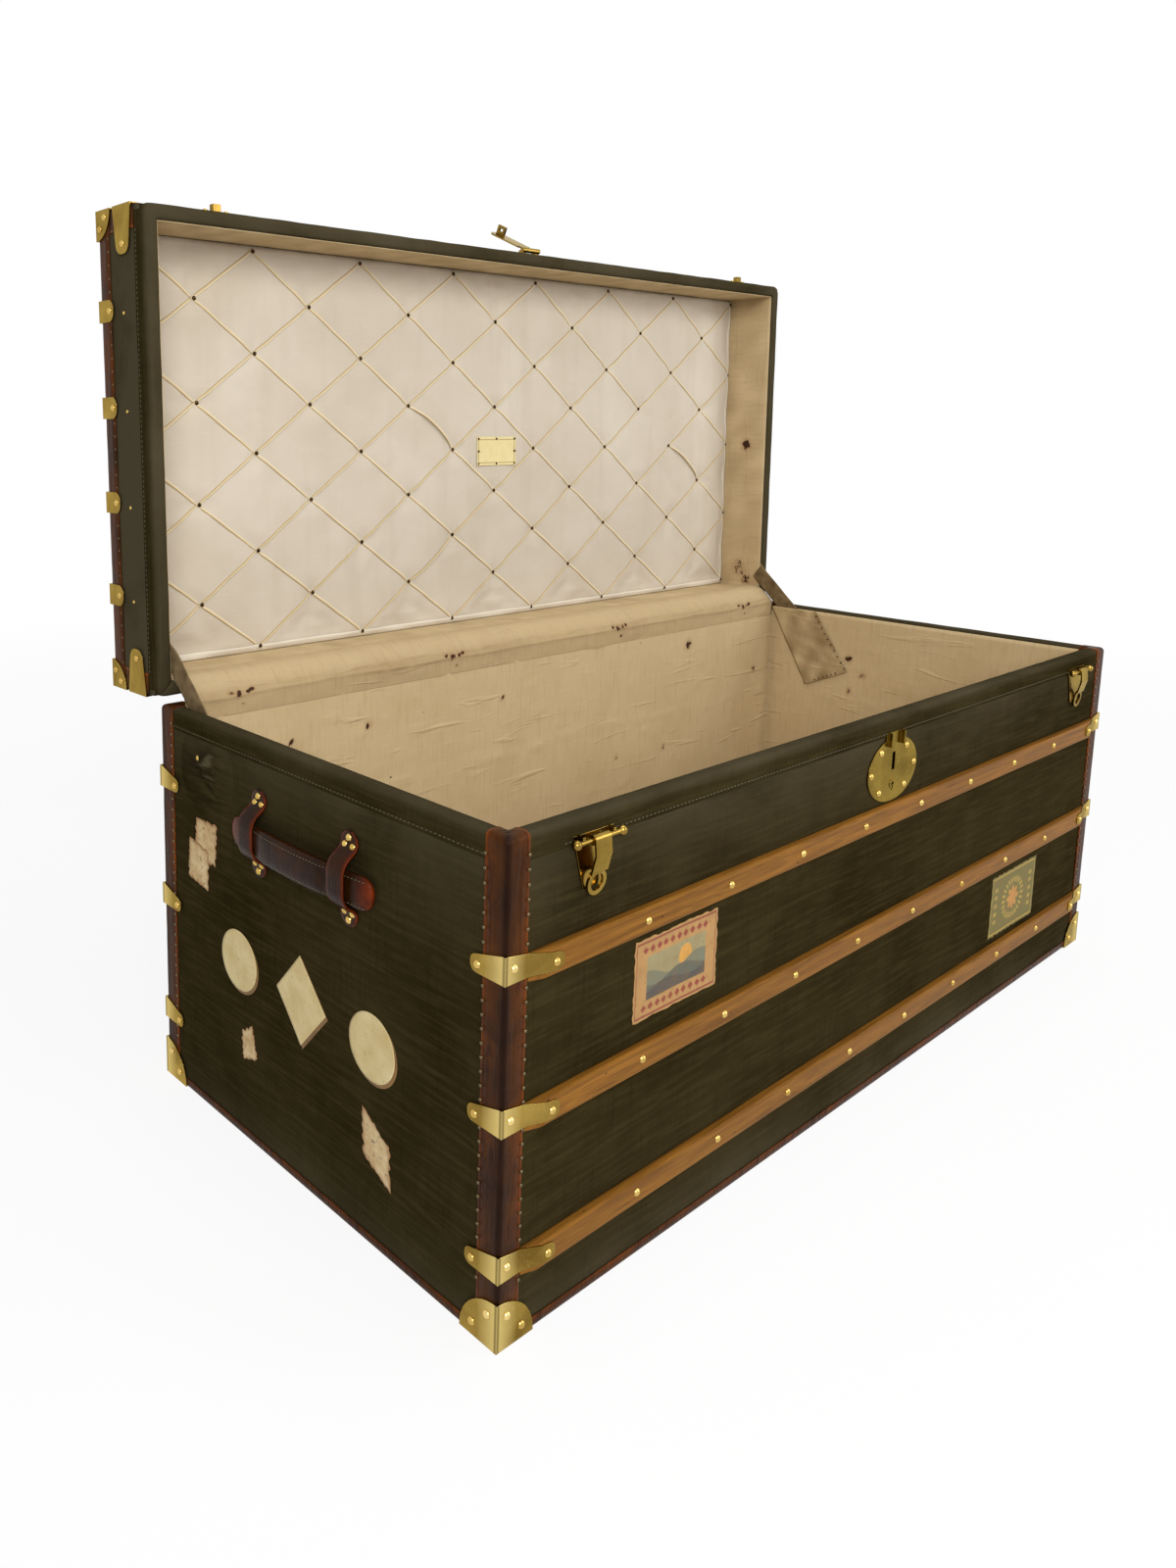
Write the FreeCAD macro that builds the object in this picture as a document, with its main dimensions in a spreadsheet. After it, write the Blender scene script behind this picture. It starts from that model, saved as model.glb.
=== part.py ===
import FreeCAD, Part
import math
import os
import Sketcher

os.makedirs("parts", exist_ok=True)

# A flat-topped travel trunk with its lid open: boarded walls covered in canvas,
# leather bindings, wooden slats, brass fittings, a padded lid and two side handles.
# X is the length, -Y the front, +Z up, and the origin the middle of the underside.
doc = FreeCAD.newDocument("travel_trunk")
sheet = doc.addObject("Spreadsheet::Sheet", "dims")

sizes = {
    "trunk_length": 1100.0,
    "trunk_depth": 487.0,
    "body_height": 402.0,
    "lid_height": 94.0,
    "lid_gap": 0.6,
    "lid_open_angle": 91.0,
    "board": 13.0,
    "canvas": 1.5,
    "lining": 1.5,
    "rim_height": 18.0,
    "lid_rim_height": 14.0,
    "rim_round": 5.0,
    "cut_overrun": 2.0,
    "seam_gap": 0.3,
    "leather": 1.5,
    "leather_leg": 22.0,
    "leather_round": 1.2,
    "edging_leg": 9.0,
    "slat_height": 22.0,
    "slat_thick": 7.0,
    "slat_bevel": 18.0,
    "slat_round": 2.5,
    "front_slat_drop": 102.0,
    "front_slat_foot": 64.0,
    "back_slat_drop": 79.0,
    "back_slat_foot": 70.0,
    "slat_upper_share": 1.0,
    "slat_middle_share": 0.5,
    "slat_lower_share": 0.0,
    "lid_slat_front_share": 0.2,
    "lid_slat_second_share": 0.4,
    "lid_slat_third_share": 0.6,
    "lid_slat_back_share": 0.8,
    "slat_rivet_share": 0.1027,
    "brass": 1.2,
    "clamp_height": 22.0,
    "clamp_rise": 4.3,
    "clamp_tip": 54.0,
    "clamp_tip_height": 13.0,
    "clamp_tip_round": 6.0,
    "clamp_side": 33.0,
    "clamp_tip_rivet": 46.0,
    "clamp_corner_rivet": 7.0,
    "clamp_side_rivet": 26.0,
    "lid_strap_height": 22.0,
    "lid_strap_tip": 52.0,
    "lid_strap_round": 9.5,
    "lid_strap_rivet": 44.0,
    "lid_tab": 28.0,
    "lid_tab_rivet": 20.0,
    "tongue_height": 37.0,
    "tongue_tip_height": 24.0,
    "tongue_short": 32.0,
    "tongue_long": 45.0,
    "tongue_level": 42.0,
    "tongue_round": 11.0,
    "tongue_rivet_inset": 10.0,
    "cap_reach": 40.0,
    "cap_rivet_near": 11.0,
    "cap_rivet_far": 27.0,
    "lid_cap_reach": 30.0,
    "lid_cap_rivet_near": 8.0,
    "lid_cap_rivet_far": 18.5,
    "rivet_radius": 3.6,
    "rivet_rise": 2.2,
    "lock_drop": 56.0,
    "lock_half_width": 49.0,
    "lock_half_height": 33.0,
    "lock_thick": 1.6,
    "lock_neck_half": 17.0,
    "lock_neck_drop": 17.0,
    "lock_cheek_in": 11.6,
    "lock_cheek": 2.0,
    "lock_cheek_high": 14.0,
    "lock_cheek_rise": 4.0,
    "lock_slot_half": 3.0,
    "lock_slot_below": 0.5,
    "lock_slot_above": 18.0,
    "keyhole_below": 15.0,
    "keyhole_radius": 2.2,
    "keyhole_slit": 1.1,
    "keyhole_drop": 7.0,
    "keyhole_ring": 5.0,
    "keyhole_ring_rise": 0.7,
    "lock_rivet_wide": 43.0,
    "lock_rivet_narrow": 25.5,
    "lock_rivet_spread": 20.5,
    "case_half_width": 30.0,
    "case_half_height": 28.0,
    "case_deep": 12.0,
    "case_wall": 2.0,
    "hasp_axis_rise": 12.0,
    "hasp_axis_out": 5.2,
    "hasp_base_half": 15.0,
    "hasp_base_low": 16.0,
    "hasp_base_high": 46.0,
    "hasp_knuckle": 3.2,
    "hasp_pin": 1.5,
    "hasp_neck_half": 7.8,
    "hasp_neck_long": 13.0,
    "hasp_half_width": 11.0,
    "hasp_thick": 2.0,
    "hasp_tip_centre": 61.0,
    "staple_half": 1.6,
    "staple_low": 66.6,
    "staple_high": 52.6,
    "staple_reach": 12.6,
    "staple_wall": 3.6,
    "hasp_swing": 155.0,
    "running_gap": 0.05,
    "side_gap": 0.4,
    "latch_inset": 90.0,
    "latch_plate_thick": 1.5,
    "latch_top_drop": 14.0,
    "latch_bottom_drop": 58.0,
    "latch_top_half": 23.0,
    "latch_bottom_half": 10.0,
    "latch_axis_drop": 18.0,
    "latch_axis_out": 7.5,
    "latch_bar": 2.0,
    "latch_bar_half": 26.0,
    "latch_ball": 4.0,
    "latch_ear_in": 16.0,
    "latch_ear": 3.0,
    "latch_knuckle": 4.0,
    "lever_half": 9.0,
    "lever_bow": 6.5,
    "lever_bow_drop": 11.0,
    "lever_low": 26.0,
    "lever_low_bow": 4.6,
    "lever_strip": 1.8,
    "lever_ring_centre": 35.0,
    "lever_ring": 10.5,
    "lever_ring_hole": 7.0,
    "lever_ring_near": 0.8,
    "lever_ring_thick": 2.4,
    "lever_tilt": 7.0,
    "keeper_rise": 16.4,
    "keeper_half": 18.0,
    "keeper_base_half": 5.0,
    "keeper_base": 1.5,
    "keeper_block_half": 4.5,
    "keeper_block_high": 3.5,
    "keeper_out": 9.0,
    "keeper_rivet": 12.5,
    "handle_drop": 86.0,
    "handle_loop_spread": 66.5,
    "loop_width": 22.0,
    "loop_strap": 2.6,
    "loop_tab_end": 41.0,
    "loop_foot": 22.0,
    "loop_head": 18.5,
    "loop_out": 15.8,
    "loop_outer_round": 6.0,
    "loop_rivet_far": 35.5,
    "loop_rivet_near": 28.5,
    "loop_rivet_side": 5.2,
    "grip_radius": 650.0,
    "grip_half_angle": 9.0,
    "grip_half_height": 15.0,
    "grip_thick": 8.0,
    "grip_round": 3.6,
    "grip_end_round": 13.0,
    "grip_stand_off": 9.3,
    "grip_sag": 3.3,
    "hinge_near_share": 0.141,
    "hinge_inset": 90.0,
    "hinge_half": 35.0,
    "hinge_middle_half": 13.0,
    "hinge_axis_out": 4.6,
    "hinge_barrel": 4.0,
    "hinge_pin": 2.0,
    "hinge_leaf": 1.6,
    "hinge_leaf_high": 44.0,
    "hinge_web": 9.0,
    "hinge_web_out": 3.4,
    "hinge_rivet_side": 24.0,
    "hinge_rivet_level": 32.0,
    "pad_thick": 9.0,
    "pad_round": 4.0,
    "pad_gap": 1.0,
    "stay_low_inset": 70.2,
    "stay_low_drop": 28.9,
    "stay_tilt": 47.4,
    "stay_length": 141.6,
    "stay_width": 24.0,
    "stay_thick": 1.2,
    "stay_clear": 0.3,
    "dust_cloth": 1.0,
    "dust_clear": 0.5,
    "dust_end": 4.0,
    "dust_hem": 24.0,
    "dust_shoulder": 2.0,
    "dust_lid_hem": 20.0,
}
for row, (name, value) in enumerate(sizes.items(), 1):
    sheet.set(f"A{row}", name)
    sheet.set(f"B{row}", str(value))
    sheet.setAlias(f"B{row}", name)
doc.recompute()

# Levels and faces that several pieces share, as expressions on the sheet.
half_x = "(dims.trunk_length / 2)"
half_y = "(dims.trunk_depth / 2)"
board_x = f"({half_x} - dims.canvas)"
board_y = f"({half_y} - dims.canvas)"
inner_x = f"({board_x} - dims.board)"
inner_y = f"({board_y} - dims.board)"
room_x = f"({inner_x} - dims.lining)"
room_y = f"({inner_y} - dims.lining)"
rim_top = "dims.body_height"
wall_top = "(dims.body_height - dims.rim_height)"
floor_top = "(dims.canvas + dims.board)"
lid_low = "(dims.body_height + dims.lid_gap)"
lid_wall_low = f"({lid_low} + dims.lid_rim_height)"
lid_top = f"({lid_low} + dims.lid_height)"
lid_board_top = f"({lid_top} - dims.canvas)"
lid_board_low = f"({lid_board_top} - dims.board)"
slat_reach = f"({half_x} - dims.leather_leg - dims.seam_gap)"
skin_x = f"({half_x} + dims.leather)"
skin_y = f"({half_y} + dims.leather)"
brass_x = f"({skin_x} + dims.brass)"
brass_y = f"({skin_y} + dims.brass)"
hinge_y = f"({half_y} + dims.hinge_axis_out)"
hinge_z = "(dims.body_height + dims.lid_gap / 2)"
lock_level = "(dims.body_height - dims.lock_drop)"
lock_top = "(dims.body_height - dims.lock_neck_drop)"
keyhole_level = f"({lock_level} - dims.keyhole_below)"
latch_centre = f"({half_x} - dims.latch_inset)"
latch_level = "(dims.body_height - dims.latch_axis_drop)"
latch_top = "(dims.body_height - dims.latch_top_drop)"
latch_bottom = "(dims.body_height - dims.latch_bottom_drop)"
handle_level = "(dims.body_height - dims.handle_drop)"

X = FreeCAD.Vector(1, 0, 0)
Y = FreeCAD.Vector(0, 1, 0)
Z = FreeCAD.Vector(0, 0, 1)
outward = {"front": -Y, "back": Y, "left": -X, "right": X, "up": Z, "down": -Z}
nodes = []


def minus(text):
    return f"-({text})"


def slat_level(place, tier):
    """Height of a slat: a share of the way from the lowest one to the highest."""
    low = f"dims.{place}_slat_foot"
    high = f"(dims.body_height - dims.{place}_slat_drop)"
    return f"({low} + ({high} - {low}) * dims.slat_{tier}_share)"


def span(side, near, far):
    """Range of a piece between two distances from the middle, on one side of it."""
    return (near, far) if side > 0 else (minus(far), minus(near))


def both(text):
    return (minus(text), text)


def put(piece, at, turn=None):
    """Seats a piece at three expressions, turned by a rotation."""
    if turn:
        piece.Placement = FreeCAD.Placement(FreeCAD.Vector(), turn)
    for axis, text in zip("xyz", at):
        piece.setExpression(f"Placement.Base.{axis}", text)
    return piece


def frame(along, aside):
    """Rotation that sends local X and Y to two directions."""
    return FreeCAD.Rotation(along, aside, along.cross(aside), "XYZ")


def facing(way):
    """Rotation that sends local Z to an outward direction."""
    return FreeCAD.Rotation(Z, outward[way])


def slab(name, across, deep, high):
    """Rectangular board between three ranges."""
    piece = doc.addObject("Part::Box", name)
    for size, (low, top) in zip(("Length", "Width", "Height"), (across, deep, high)):
        piece.setExpression(size, f"({top}) - ({low})")
    return put(piece, (across[0], deep[0], high[0]))


def rod(name, radius, length, at, way):
    """Round bar that starts at a point and runs one way."""
    piece = doc.addObject("Part::Cylinder", name)
    piece.setExpression("Radius", radius)
    piece.setExpression("Height", length)
    return put(piece, at, facing(way))


def ball(name, radius, at):
    piece = doc.addObject("Part::Sphere", name)
    piece.setExpression("Radius", radius)
    return put(piece, at)


def fuse(name, pieces):
    piece = doc.addObject("Part::MultiFuse", name)
    piece.Shapes = pieces
    return piece


def cut(name, base, tool):
    piece = doc.addObject("Part::Cut", name)
    piece.Base = base
    piece.Tool = tool
    return piece


def overlap(name, base, tool):
    piece = doc.addObject("Part::Common", name)
    piece.Base = base
    piece.Tool = tool
    return piece


def group(name, pieces):
    piece = doc.addObject("Part::Compound", name)
    piece.Links = pieces
    return piece


def keep(piece, label):
    """Marks a finished sub-part for its own file."""
    piece.Label = label
    nodes.append(piece)
    return piece


def keep_on_lid(pieces, label):
    """Swings lid pieces, built in the closed place, open about the hinge line."""
    piece = group(label + "_open", pieces)
    centre = f"vector(0; {hinge_y}; {hinge_z})"
    turn = "rotation(vector(1; 0; 0); -dims.lid_open_angle)"
    piece.setExpression("Placement", f"placement(vector(0; 0; 0); {turn}; {centre})")
    return keep(piece, label)


def outline(body, plane, corners):
    """Closed straight-sided sketch whose corners are held by expressions."""
    sketch = body.newObject("Sketcher::SketchObject", body.Name + "_outline")
    support = [f for f in body.Origin.OriginFeatures if f.Role == plane][0]
    sketch.AttachmentSupport = [(support, "")]
    sketch.MapMode = "FlatFace"
    count = len(corners)
    turns = [2 * math.pi * i / count for i in range(count)]
    ring = [FreeCAD.Vector(math.cos(a), math.sin(a), 0) for a in turns]
    for i in range(count):
        sketch.addGeometry(Part.LineSegment(ring[i], ring[(i + 1) % count]))
    for i in range(count):
        sketch.addConstraint(Sketcher.Constraint("Coincident", i, 2, (i + 1) % count, 1))
    for i, corner in enumerate(corners):
        for kind, text, at in zip(("DistanceX", "DistanceY"), corner, ring[i]):
            index = sketch.addConstraint(Sketcher.Constraint(kind, -1, 1, i, 1, at))
            sketch.setExpression(f"Constraints[{index}]", text)
    return sketch


def pad(name, plane, corners, length):
    """Body padded evenly to both sides of a sketch."""
    body = doc.addObject("PartDesign::Body", name)
    feature = body.newObject("PartDesign::Pad", name + "_pad")
    feature.Profile = outline(body, plane, corners)
    feature.SideType = "Symmetric"
    feature.setExpression("Length", length)
    doc.recompute()
    return body


def soften(body, radius, test):
    """Rounds the edges of a body whose middle and direction pass a test."""
    last = body.Tip
    picked = []
    for index, edge in enumerate(last.Shape.Edges, 1):
        run = edge.Vertexes[-1].Point - edge.Vertexes[0].Point
        if test(edge.BoundBox.Center, run.normalize()):
            picked.append(f"Edge{index}")
    feature = body.newObject("PartDesign::Fillet", body.Name + "_round")
    feature.Base = (last, picked)
    feature.setExpression("Radius", radius)
    doc.recompute()
    return body


def along(run, axis):
    return abs(run.dot(axis)) > math.cos(math.radians(1))


def same(one, other):
    return math.isclose(one, other, rel_tol=1e-5)


def rivet(name, at, way):
    """Low brass dome: a spherical cap seated on a face."""
    sphere = "((dims.rivet_radius^2 + dims.rivet_rise^2) / (2 * dims.rivet_rise))"
    sink = f"({sphere} - dims.rivet_rise)"
    piece = doc.addObject("Part::Sphere", name)
    piece.setExpression("Radius", sphere)
    piece.setExpression("Angle1", f"asin({sink} / {sphere})")
    seat = [f"{text} - ({part:.0f}) * {sink}" for text, part in zip(at, outward[way])]
    return put(piece, seat, facing(way))


# Carcass: five boards, the front one hollowed behind the lock.
case_span = both("dims.case_half_width")
case_low = f"({lock_level} - dims.case_half_height)"
case_high = f"({lock_level} + dims.case_half_height)"
case_rise = (case_low, case_high)
case_back = f"({board_y} - dims.case_deep)"
board_rise = ("dims.canvas", wall_top)
front_board = slab("front_board", both(board_x), span(-1, inner_y, board_y), board_rise)
mouth = f"({board_y} + dims.cut_overrun)"
case_pocket = slab("case_pocket", case_span, span(-1, case_back, mouth), case_rise)
keep(cut("front_panel", front_board, case_pocket), "front_panel")
keep(slab("back_panel", both(board_x), span(1, inner_y, board_y), board_rise), "back_panel")
for side, word in ((-1, "left"), (1, "right")):
    end = slab(word + "_panel", span(side, inner_x, board_x), both(inner_y), board_rise)
    keep(end, word + "_panel")
floor_rise = ("dims.canvas", floor_top)
keep(slab("bottom_panel", both(inner_x), both(inner_y), floor_rise), "bottom_panel")

# Canvas cover glued outside the boards, slotted behind the lock plate.
front_cloth = slab("front_cloth", both(board_x), span(-1, board_y, half_y), board_rise)
slot_depth = span(-1, inner_y, f"({half_y} + dims.cut_overrun)")
slot_rise = (f"{lock_level} - dims.lock_slot_below", f"{lock_level} + dims.lock_slot_above")
cloth_slot = slab("cloth_slot", both("dims.lock_slot_half"), slot_depth, slot_rise)
cloths = [cut("front_cloth_slotted", front_cloth, cloth_slot)]
cloths.append(slab("back_cloth", both(board_x), span(1, board_y, half_y), board_rise))
for side, word in ((-1, "left"), (1, "right")):
    cloths.append(slab(word + "_cloth", span(side, board_x, half_x), both(half_y), board_rise))
keep(group("body_cloths", cloths), "body_canvas")

# Canvas under the floor, notched for the corner caps and inside the edging.
edge_in_x = f"({half_x} - dims.edging_leg - dims.seam_gap)"
edge_in_y = f"({half_y} - dims.edging_leg - dims.seam_gap)"
under = slab("under_cloth", both(edge_in_x), both(edge_in_y), ("0", "dims.canvas"))
notch_x = f"({half_x} - dims.cap_reach)"
notch_y = f"({half_y} - dims.cap_reach)"
notch_rise = (minus("dims.cut_overrun"), "dims.canvas + dims.cut_overrun")
notches = []
for side in (-1, 1):
    for hand in (-1, 1):
        wide = span(side, notch_x, half_x)
        deep = span(hand, notch_y, half_y)
        notches.append(slab(f"notch_{len(notches)}", wide, deep, notch_rise))
keep(cut("under_cloth_notched", under, fuse("notches", notches)), "bottom_canvas")

# Lining cloth on the inside of the walls and floor.
lining_rise = (f"{floor_top} + dims.lining", wall_top)
floor_cloth_rise = (floor_top, f"{floor_top} + dims.lining")
linings = [slab("floor_lining", both(inner_x), both(inner_y), floor_cloth_rise)]
for side, word in ((-1, "front"), (1, "back")):
    deep = span(side, room_y, inner_y)
    linings.append(slab(word + "_lining", both(inner_x), deep, lining_rise))
for side, word in ((-1, "left"), (1, "right")):
    wide = span(side, room_x, inner_x)
    linings.append(slab(word + "_lining", wide, both(room_y), lining_rise))
keep(group("body_linings", linings), "body_lining")


def rim_strip(name, length, height, rounded_top, at, turn):
    """Bound wall edge: a strip with both of its open long edges rounded."""
    width = "dims.canvas + dims.board + dims.lining"
    corners = [("0", "0"), (width, "0"), (width, height), ("0", height)]
    strip = pad(name, "YZ_Plane", corners, length)
    middle = strip.Shape.BoundBox.Center.z
    soften(
        strip,
        "dims.rim_round",
        lambda centre, run: along(run, X) and (centre.z > middle) == rounded_top,
    )
    return put(strip, at, FreeCAD.Rotation(Z, turn))


def rim(prefix, height, level, rounded_top):
    """Four rim strips: long ones in front and behind, short ones between."""
    short = f"2 * {room_y}"
    long = "dims.trunk_length"
    return [
        rim_strip(prefix + "_front", long, height, rounded_top, ("0", minus(half_y), level), 0),
        rim_strip(prefix + "_back", long, height, rounded_top, ("0", half_y, level), 180),
        rim_strip(prefix + "_left", short, height, rounded_top, (minus(half_x), "0", level), -90),
        rim_strip(prefix + "_right", short, height, rounded_top, (half_x, "0", level), 90),
    ]


keep(group("body_rims", rim("body_rim", "dims.rim_height", wall_top, True)), "body_rim")


def angle_strip(name, length, at, turn):
    """Leather folded round an edge, outside the canvas on both faces."""
    out = minus("dims.leather")
    leg = "dims.leather_leg"
    corners = [(out, out), (leg, out), (leg, "0"), ("0", "0"), ("0", leg), (out, leg)]
    strip = pad(name, "XY_Plane", corners, length)
    soften(
        strip,
        "dims.leather_round",
        lambda centre, run: along(run, Z) and centre.x < 0 and centre.y < 0,
    )
    return put(strip, at, turn)


corners = []
for side, word in ((-1, "left"), (1, "right")):
    for hand, place in ((-1, "front"), (1, "back")):
        where = (half_x if side > 0 else minus(half_x), half_y if hand > 0 else minus(half_y))
        corners.append((f"{place}_{word}", side, hand, where, frame(-X * side, -Y * hand)))

# Leather corner bindings nailed up the four upright edges.
upright = f"({rim_top} - dims.canvas)"
upright_level = f"({rim_top} + dims.canvas) / 2"
bindings = []
for name, side, hand, where, turn in corners:
    bindings.append(angle_strip("binding_" + name, upright, (*where, upright_level), turn))
keep(group("bindings", bindings), "corner_leathers")

# Leather edging round the foot: an upright leg outside the canvas and a leg under it.
foot_rise = ("dims.brass", "dims.edging_leg")
sole_rise = ("0", "dims.canvas")
foot_x = f"({half_x} - dims.leather_leg - dims.seam_gap)"
foot_y = f"({half_y} - dims.leather_leg - dims.seam_gap)"
edgings = []
for side, word in ((-1, "front"), (1, "back")):
    leg = slab(word + "_foot", both(foot_x), span(side, half_y, skin_y), foot_rise)
    sole_depth = span(side, f"({half_y} - dims.edging_leg)", half_y)
    sole = slab(word + "_sole", both(notch_x), sole_depth, sole_rise)
    edgings.append(fuse(word + "_edging", [leg, sole]))
for side, word in ((-1, "left"), (1, "right")):
    leg = slab(word + "_foot", span(side, half_x, skin_x), both(foot_y), foot_rise)
    sole_width = span(side, f"({half_x} - dims.edging_leg)", half_x)
    sole = slab(word + "_sole", sole_width, both(notch_y), sole_rise)
    edgings.append(fuse(word + "_edging", [leg, sole]))
keep(group("edgings", edgings), "bottom_edge_leathers")


def slat(name, at, turn):
    """Wooden slat with bevelled ends and rounded long edges, its back on local Y = 0."""
    end = slat_reach
    toe = "dims.leather"
    flat = f"({slat_reach} - dims.slat_bevel)"
    thick = "dims.slat_thick"
    right_half = [(minus(end), "0"), (end, "0"), (end, toe), (flat, thick)]
    piece = pad(
        name,
        "XY_Plane",
        right_half + [(minus(flat), thick), (minus(end), toe)],
        "dims.slat_height",
    )
    highest = piece.Shape.BoundBox.YMax
    soften(
        piece,
        "dims.slat_round",
        lambda centre, run: along(run, X) and same(centre.y, highest),
    )
    return put(piece, at, turn)


# Three slats on the front and three on the back, each held by eight rivets.
rivet_step = "dims.trunk_length * dims.slat_rivet_share"
rivet_places = [f"{rivet_step} * ({i} - 7 / 2)" for i in range(8)]
slat_face = f"({half_y} + dims.slat_thick)"
body_rivets = []
for hand, place, turn in ((-1, "front", frame(-X, -Y)), (1, "back", frame(X, Y))):
    seat = half_y if hand > 0 else minus(half_y)
    face = slat_face if hand > 0 else minus(slat_face)
    for tier in ("upper", "middle", "lower"):
        name = f"{place}_slat_{tier}"
        level = slat_level(place, tier)
        keep(slat(name + "_wood", ("0", seat, level), turn), name)
        for index, across in enumerate(rivet_places):
            body_rivets.append(rivet(f"{name}_rivet_{index}", (across, face, level), place))


def slope(strap, plane, leg, tall, tip_tall, up):
    """Cuts a strap's leg from its full height at the corner down to a lower tip, on one edge."""
    pocket = strap.newObject("PartDesign::Pocket", f"{strap.Name}_{plane}_{'low' if up < 0 else 'high'}")
    top = f"({up}) * {tall} / 2"
    tip = f"({up}) * ({tip_tall} - {tall} / 2)"
    clear = f"({up}) * ({tall} / 2 + dims.cut_overrun)"
    end = f"{leg} + dims.cut_overrun"
    pocket.Profile = outline(strap, plane, [("0", top), (leg, tip), (end, tip), (end, clear), ("0", clear)])
    pocket.SideType = "Symmetric"
    pocket.setExpression("Length", f"2 * dims.slat_thick + 2 * {tall}")
    doc.recompute()


def round_tips(strap, radius):
    """Rounds the two corners at each end of a folded strap."""
    box = strap.Shape.BoundBox
    return soften(
        strap,
        radius,
        lambda centre, run: (along(run, Y) and same(centre.x, box.XMax))
        or (along(run, X) and same(centre.y, box.YMax)),
    )


def clamp(name, side_leg, tip_leg, height):
    """Brass strap from a side face round a corner and up a slat's bevelled end."""
    skin = minus("dims.leather")
    back = minus("dims.leather + dims.brass")
    toe = "dims.leather_leg + dims.seam_gap"
    heel = f"{toe} + dims.slat_bevel"
    low = minus("dims.slat_thick")
    high = minus("dims.slat_thick + dims.brass")
    inner = [(skin, side_leg), (skin, skin), (toe, skin), (heel, low), (tip_leg, low)]
    outer = [(tip_leg, high), (heel, high), (toe, back), (back, back), (back, side_leg)]
    return pad(name, "XY_Plane", inner + outer, height)


# Brass clamps that hold the slat ends at the upright corners, three rivets in each.
# They are highest at the corner and fall to low rounded tips.
clamp_fall = ("dims.clamp_height", "dims.clamp_tip_height")
for place, hand in (("front", -1), ("back", 1)):
    straps = []
    for name, side, corner_hand, where, turn in corners:
        if corner_hand != hand:
            continue
        for tier in ("upper", "middle", "lower"):
            level = f"({slat_level(place, tier)} + dims.clamp_rise)"
            strap = clamp(f"clamp_{name}_{tier}", "dims.clamp_side", "dims.clamp_tip", "dims.clamp_height")
            slope(strap, "XZ_Plane", "dims.clamp_tip", *clamp_fall, side * hand)
            slope(strap, "YZ_Plane", "dims.clamp_side", *clamp_fall, side * hand)
            straps.append(put(round_tips(strap, "dims.clamp_tip_round"), (*where, level), turn))
            tip = f"{where[0]} - ({side}) * dims.clamp_tip_rivet"
            tip_face = f"{where[1]} + ({hand}) * (dims.slat_thick + dims.brass)"
            low = f"{where[0]} - ({side}) * dims.clamp_corner_rivet"
            low_face = f"{where[1]} + ({hand}) * (dims.leather + dims.brass)"
            end_face = f"{where[0]} + ({side}) * (dims.leather + dims.brass)"
            end = f"{where[1]} - ({hand}) * dims.clamp_side_rivet"
            tip_level = f"{level} - (dims.clamp_height - dims.clamp_tip_height) / 2"
            end_way = "right" if side > 0 else "left"
            stem = f"clamp_rivet_{name}_{tier}"
            body_rivets.append(rivet(stem + "_tip", (tip, tip_face, tip_level), place))
            body_rivets.append(rivet(stem + "_low", (low, low_face, level), place))
            body_rivets.append(rivet(stem + "_end", (end_face, end, tip_level), end_way))
    keep(group(place + "_clamps", straps), place + "_slat_clamps")


def cap(name, reach, side, hand, low, high, inner_low, inner_high, tip_level):
    """Three-faced brass corner: a box corner shell trimmed to a ball."""
    reach_x = f"({half_x} - {reach})"
    reach_y = f"({half_y} - {reach})"
    shell = slab(
        name + "_outer", span(side, reach_x, brass_x), span(hand, reach_y, brass_y), (low, high)
    )
    core = slab(
        name + "_core",
        span(side, f"{reach_x} - dims.cut_overrun", skin_x),
        span(hand, f"{reach_y} - dims.cut_overrun", skin_y),
        (inner_low, inner_high),
    )
    tip = (brass_x if side > 0 else minus(brass_x), brass_y if hand > 0 else minus(brass_y))
    trim = ball(name + "_trim", reach, (*tip, tip_level))
    return overlap(name, cut(name + "_shell", shell, core), trim)


def cap_rivets(stem, kind, side, hand, tip_level, up):
    """Two rivets on each upright face of a corner cap."""
    found = []
    end_way = "right" if side > 0 else "left"
    deep_way = "back" if hand > 0 else "front"
    for near, far in (("near", "far"), ("far", "near")):
        level = f"{tip_level} + ({up}) * dims.{kind}_rivet_{far}"
        across = f"({side}) * ({brass_x} - dims.{kind}_rivet_{near})"
        deep = f"({hand}) * ({brass_y} - dims.{kind}_rivet_{near})"
        face_y = f"({hand}) * {brass_y}"
        face_x = f"({side}) * {brass_x}"
        found.append(rivet(f"{stem}_{near}_a", (across, face_y, level), deep_way))
        found.append(rivet(f"{stem}_{near}_b", (face_x, deep, level), end_way))
    return found


# Brass caps on the four bottom corners, flush with the underside.
caps = []
for name, side, hand, where, turn in corners:
    limits = ("0", "dims.cap_reach", "dims.brass", "dims.cap_reach + dims.cut_overrun")
    caps.append(cap("foot_cap_" + name, "dims.cap_reach", side, hand, *limits, "0"))
    body_rivets += cap_rivets("foot_cap_rivet_" + name, "cap", side, hand, "0", 1)
keep(group("foot_caps", caps), "bottom_corner_caps")

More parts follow.
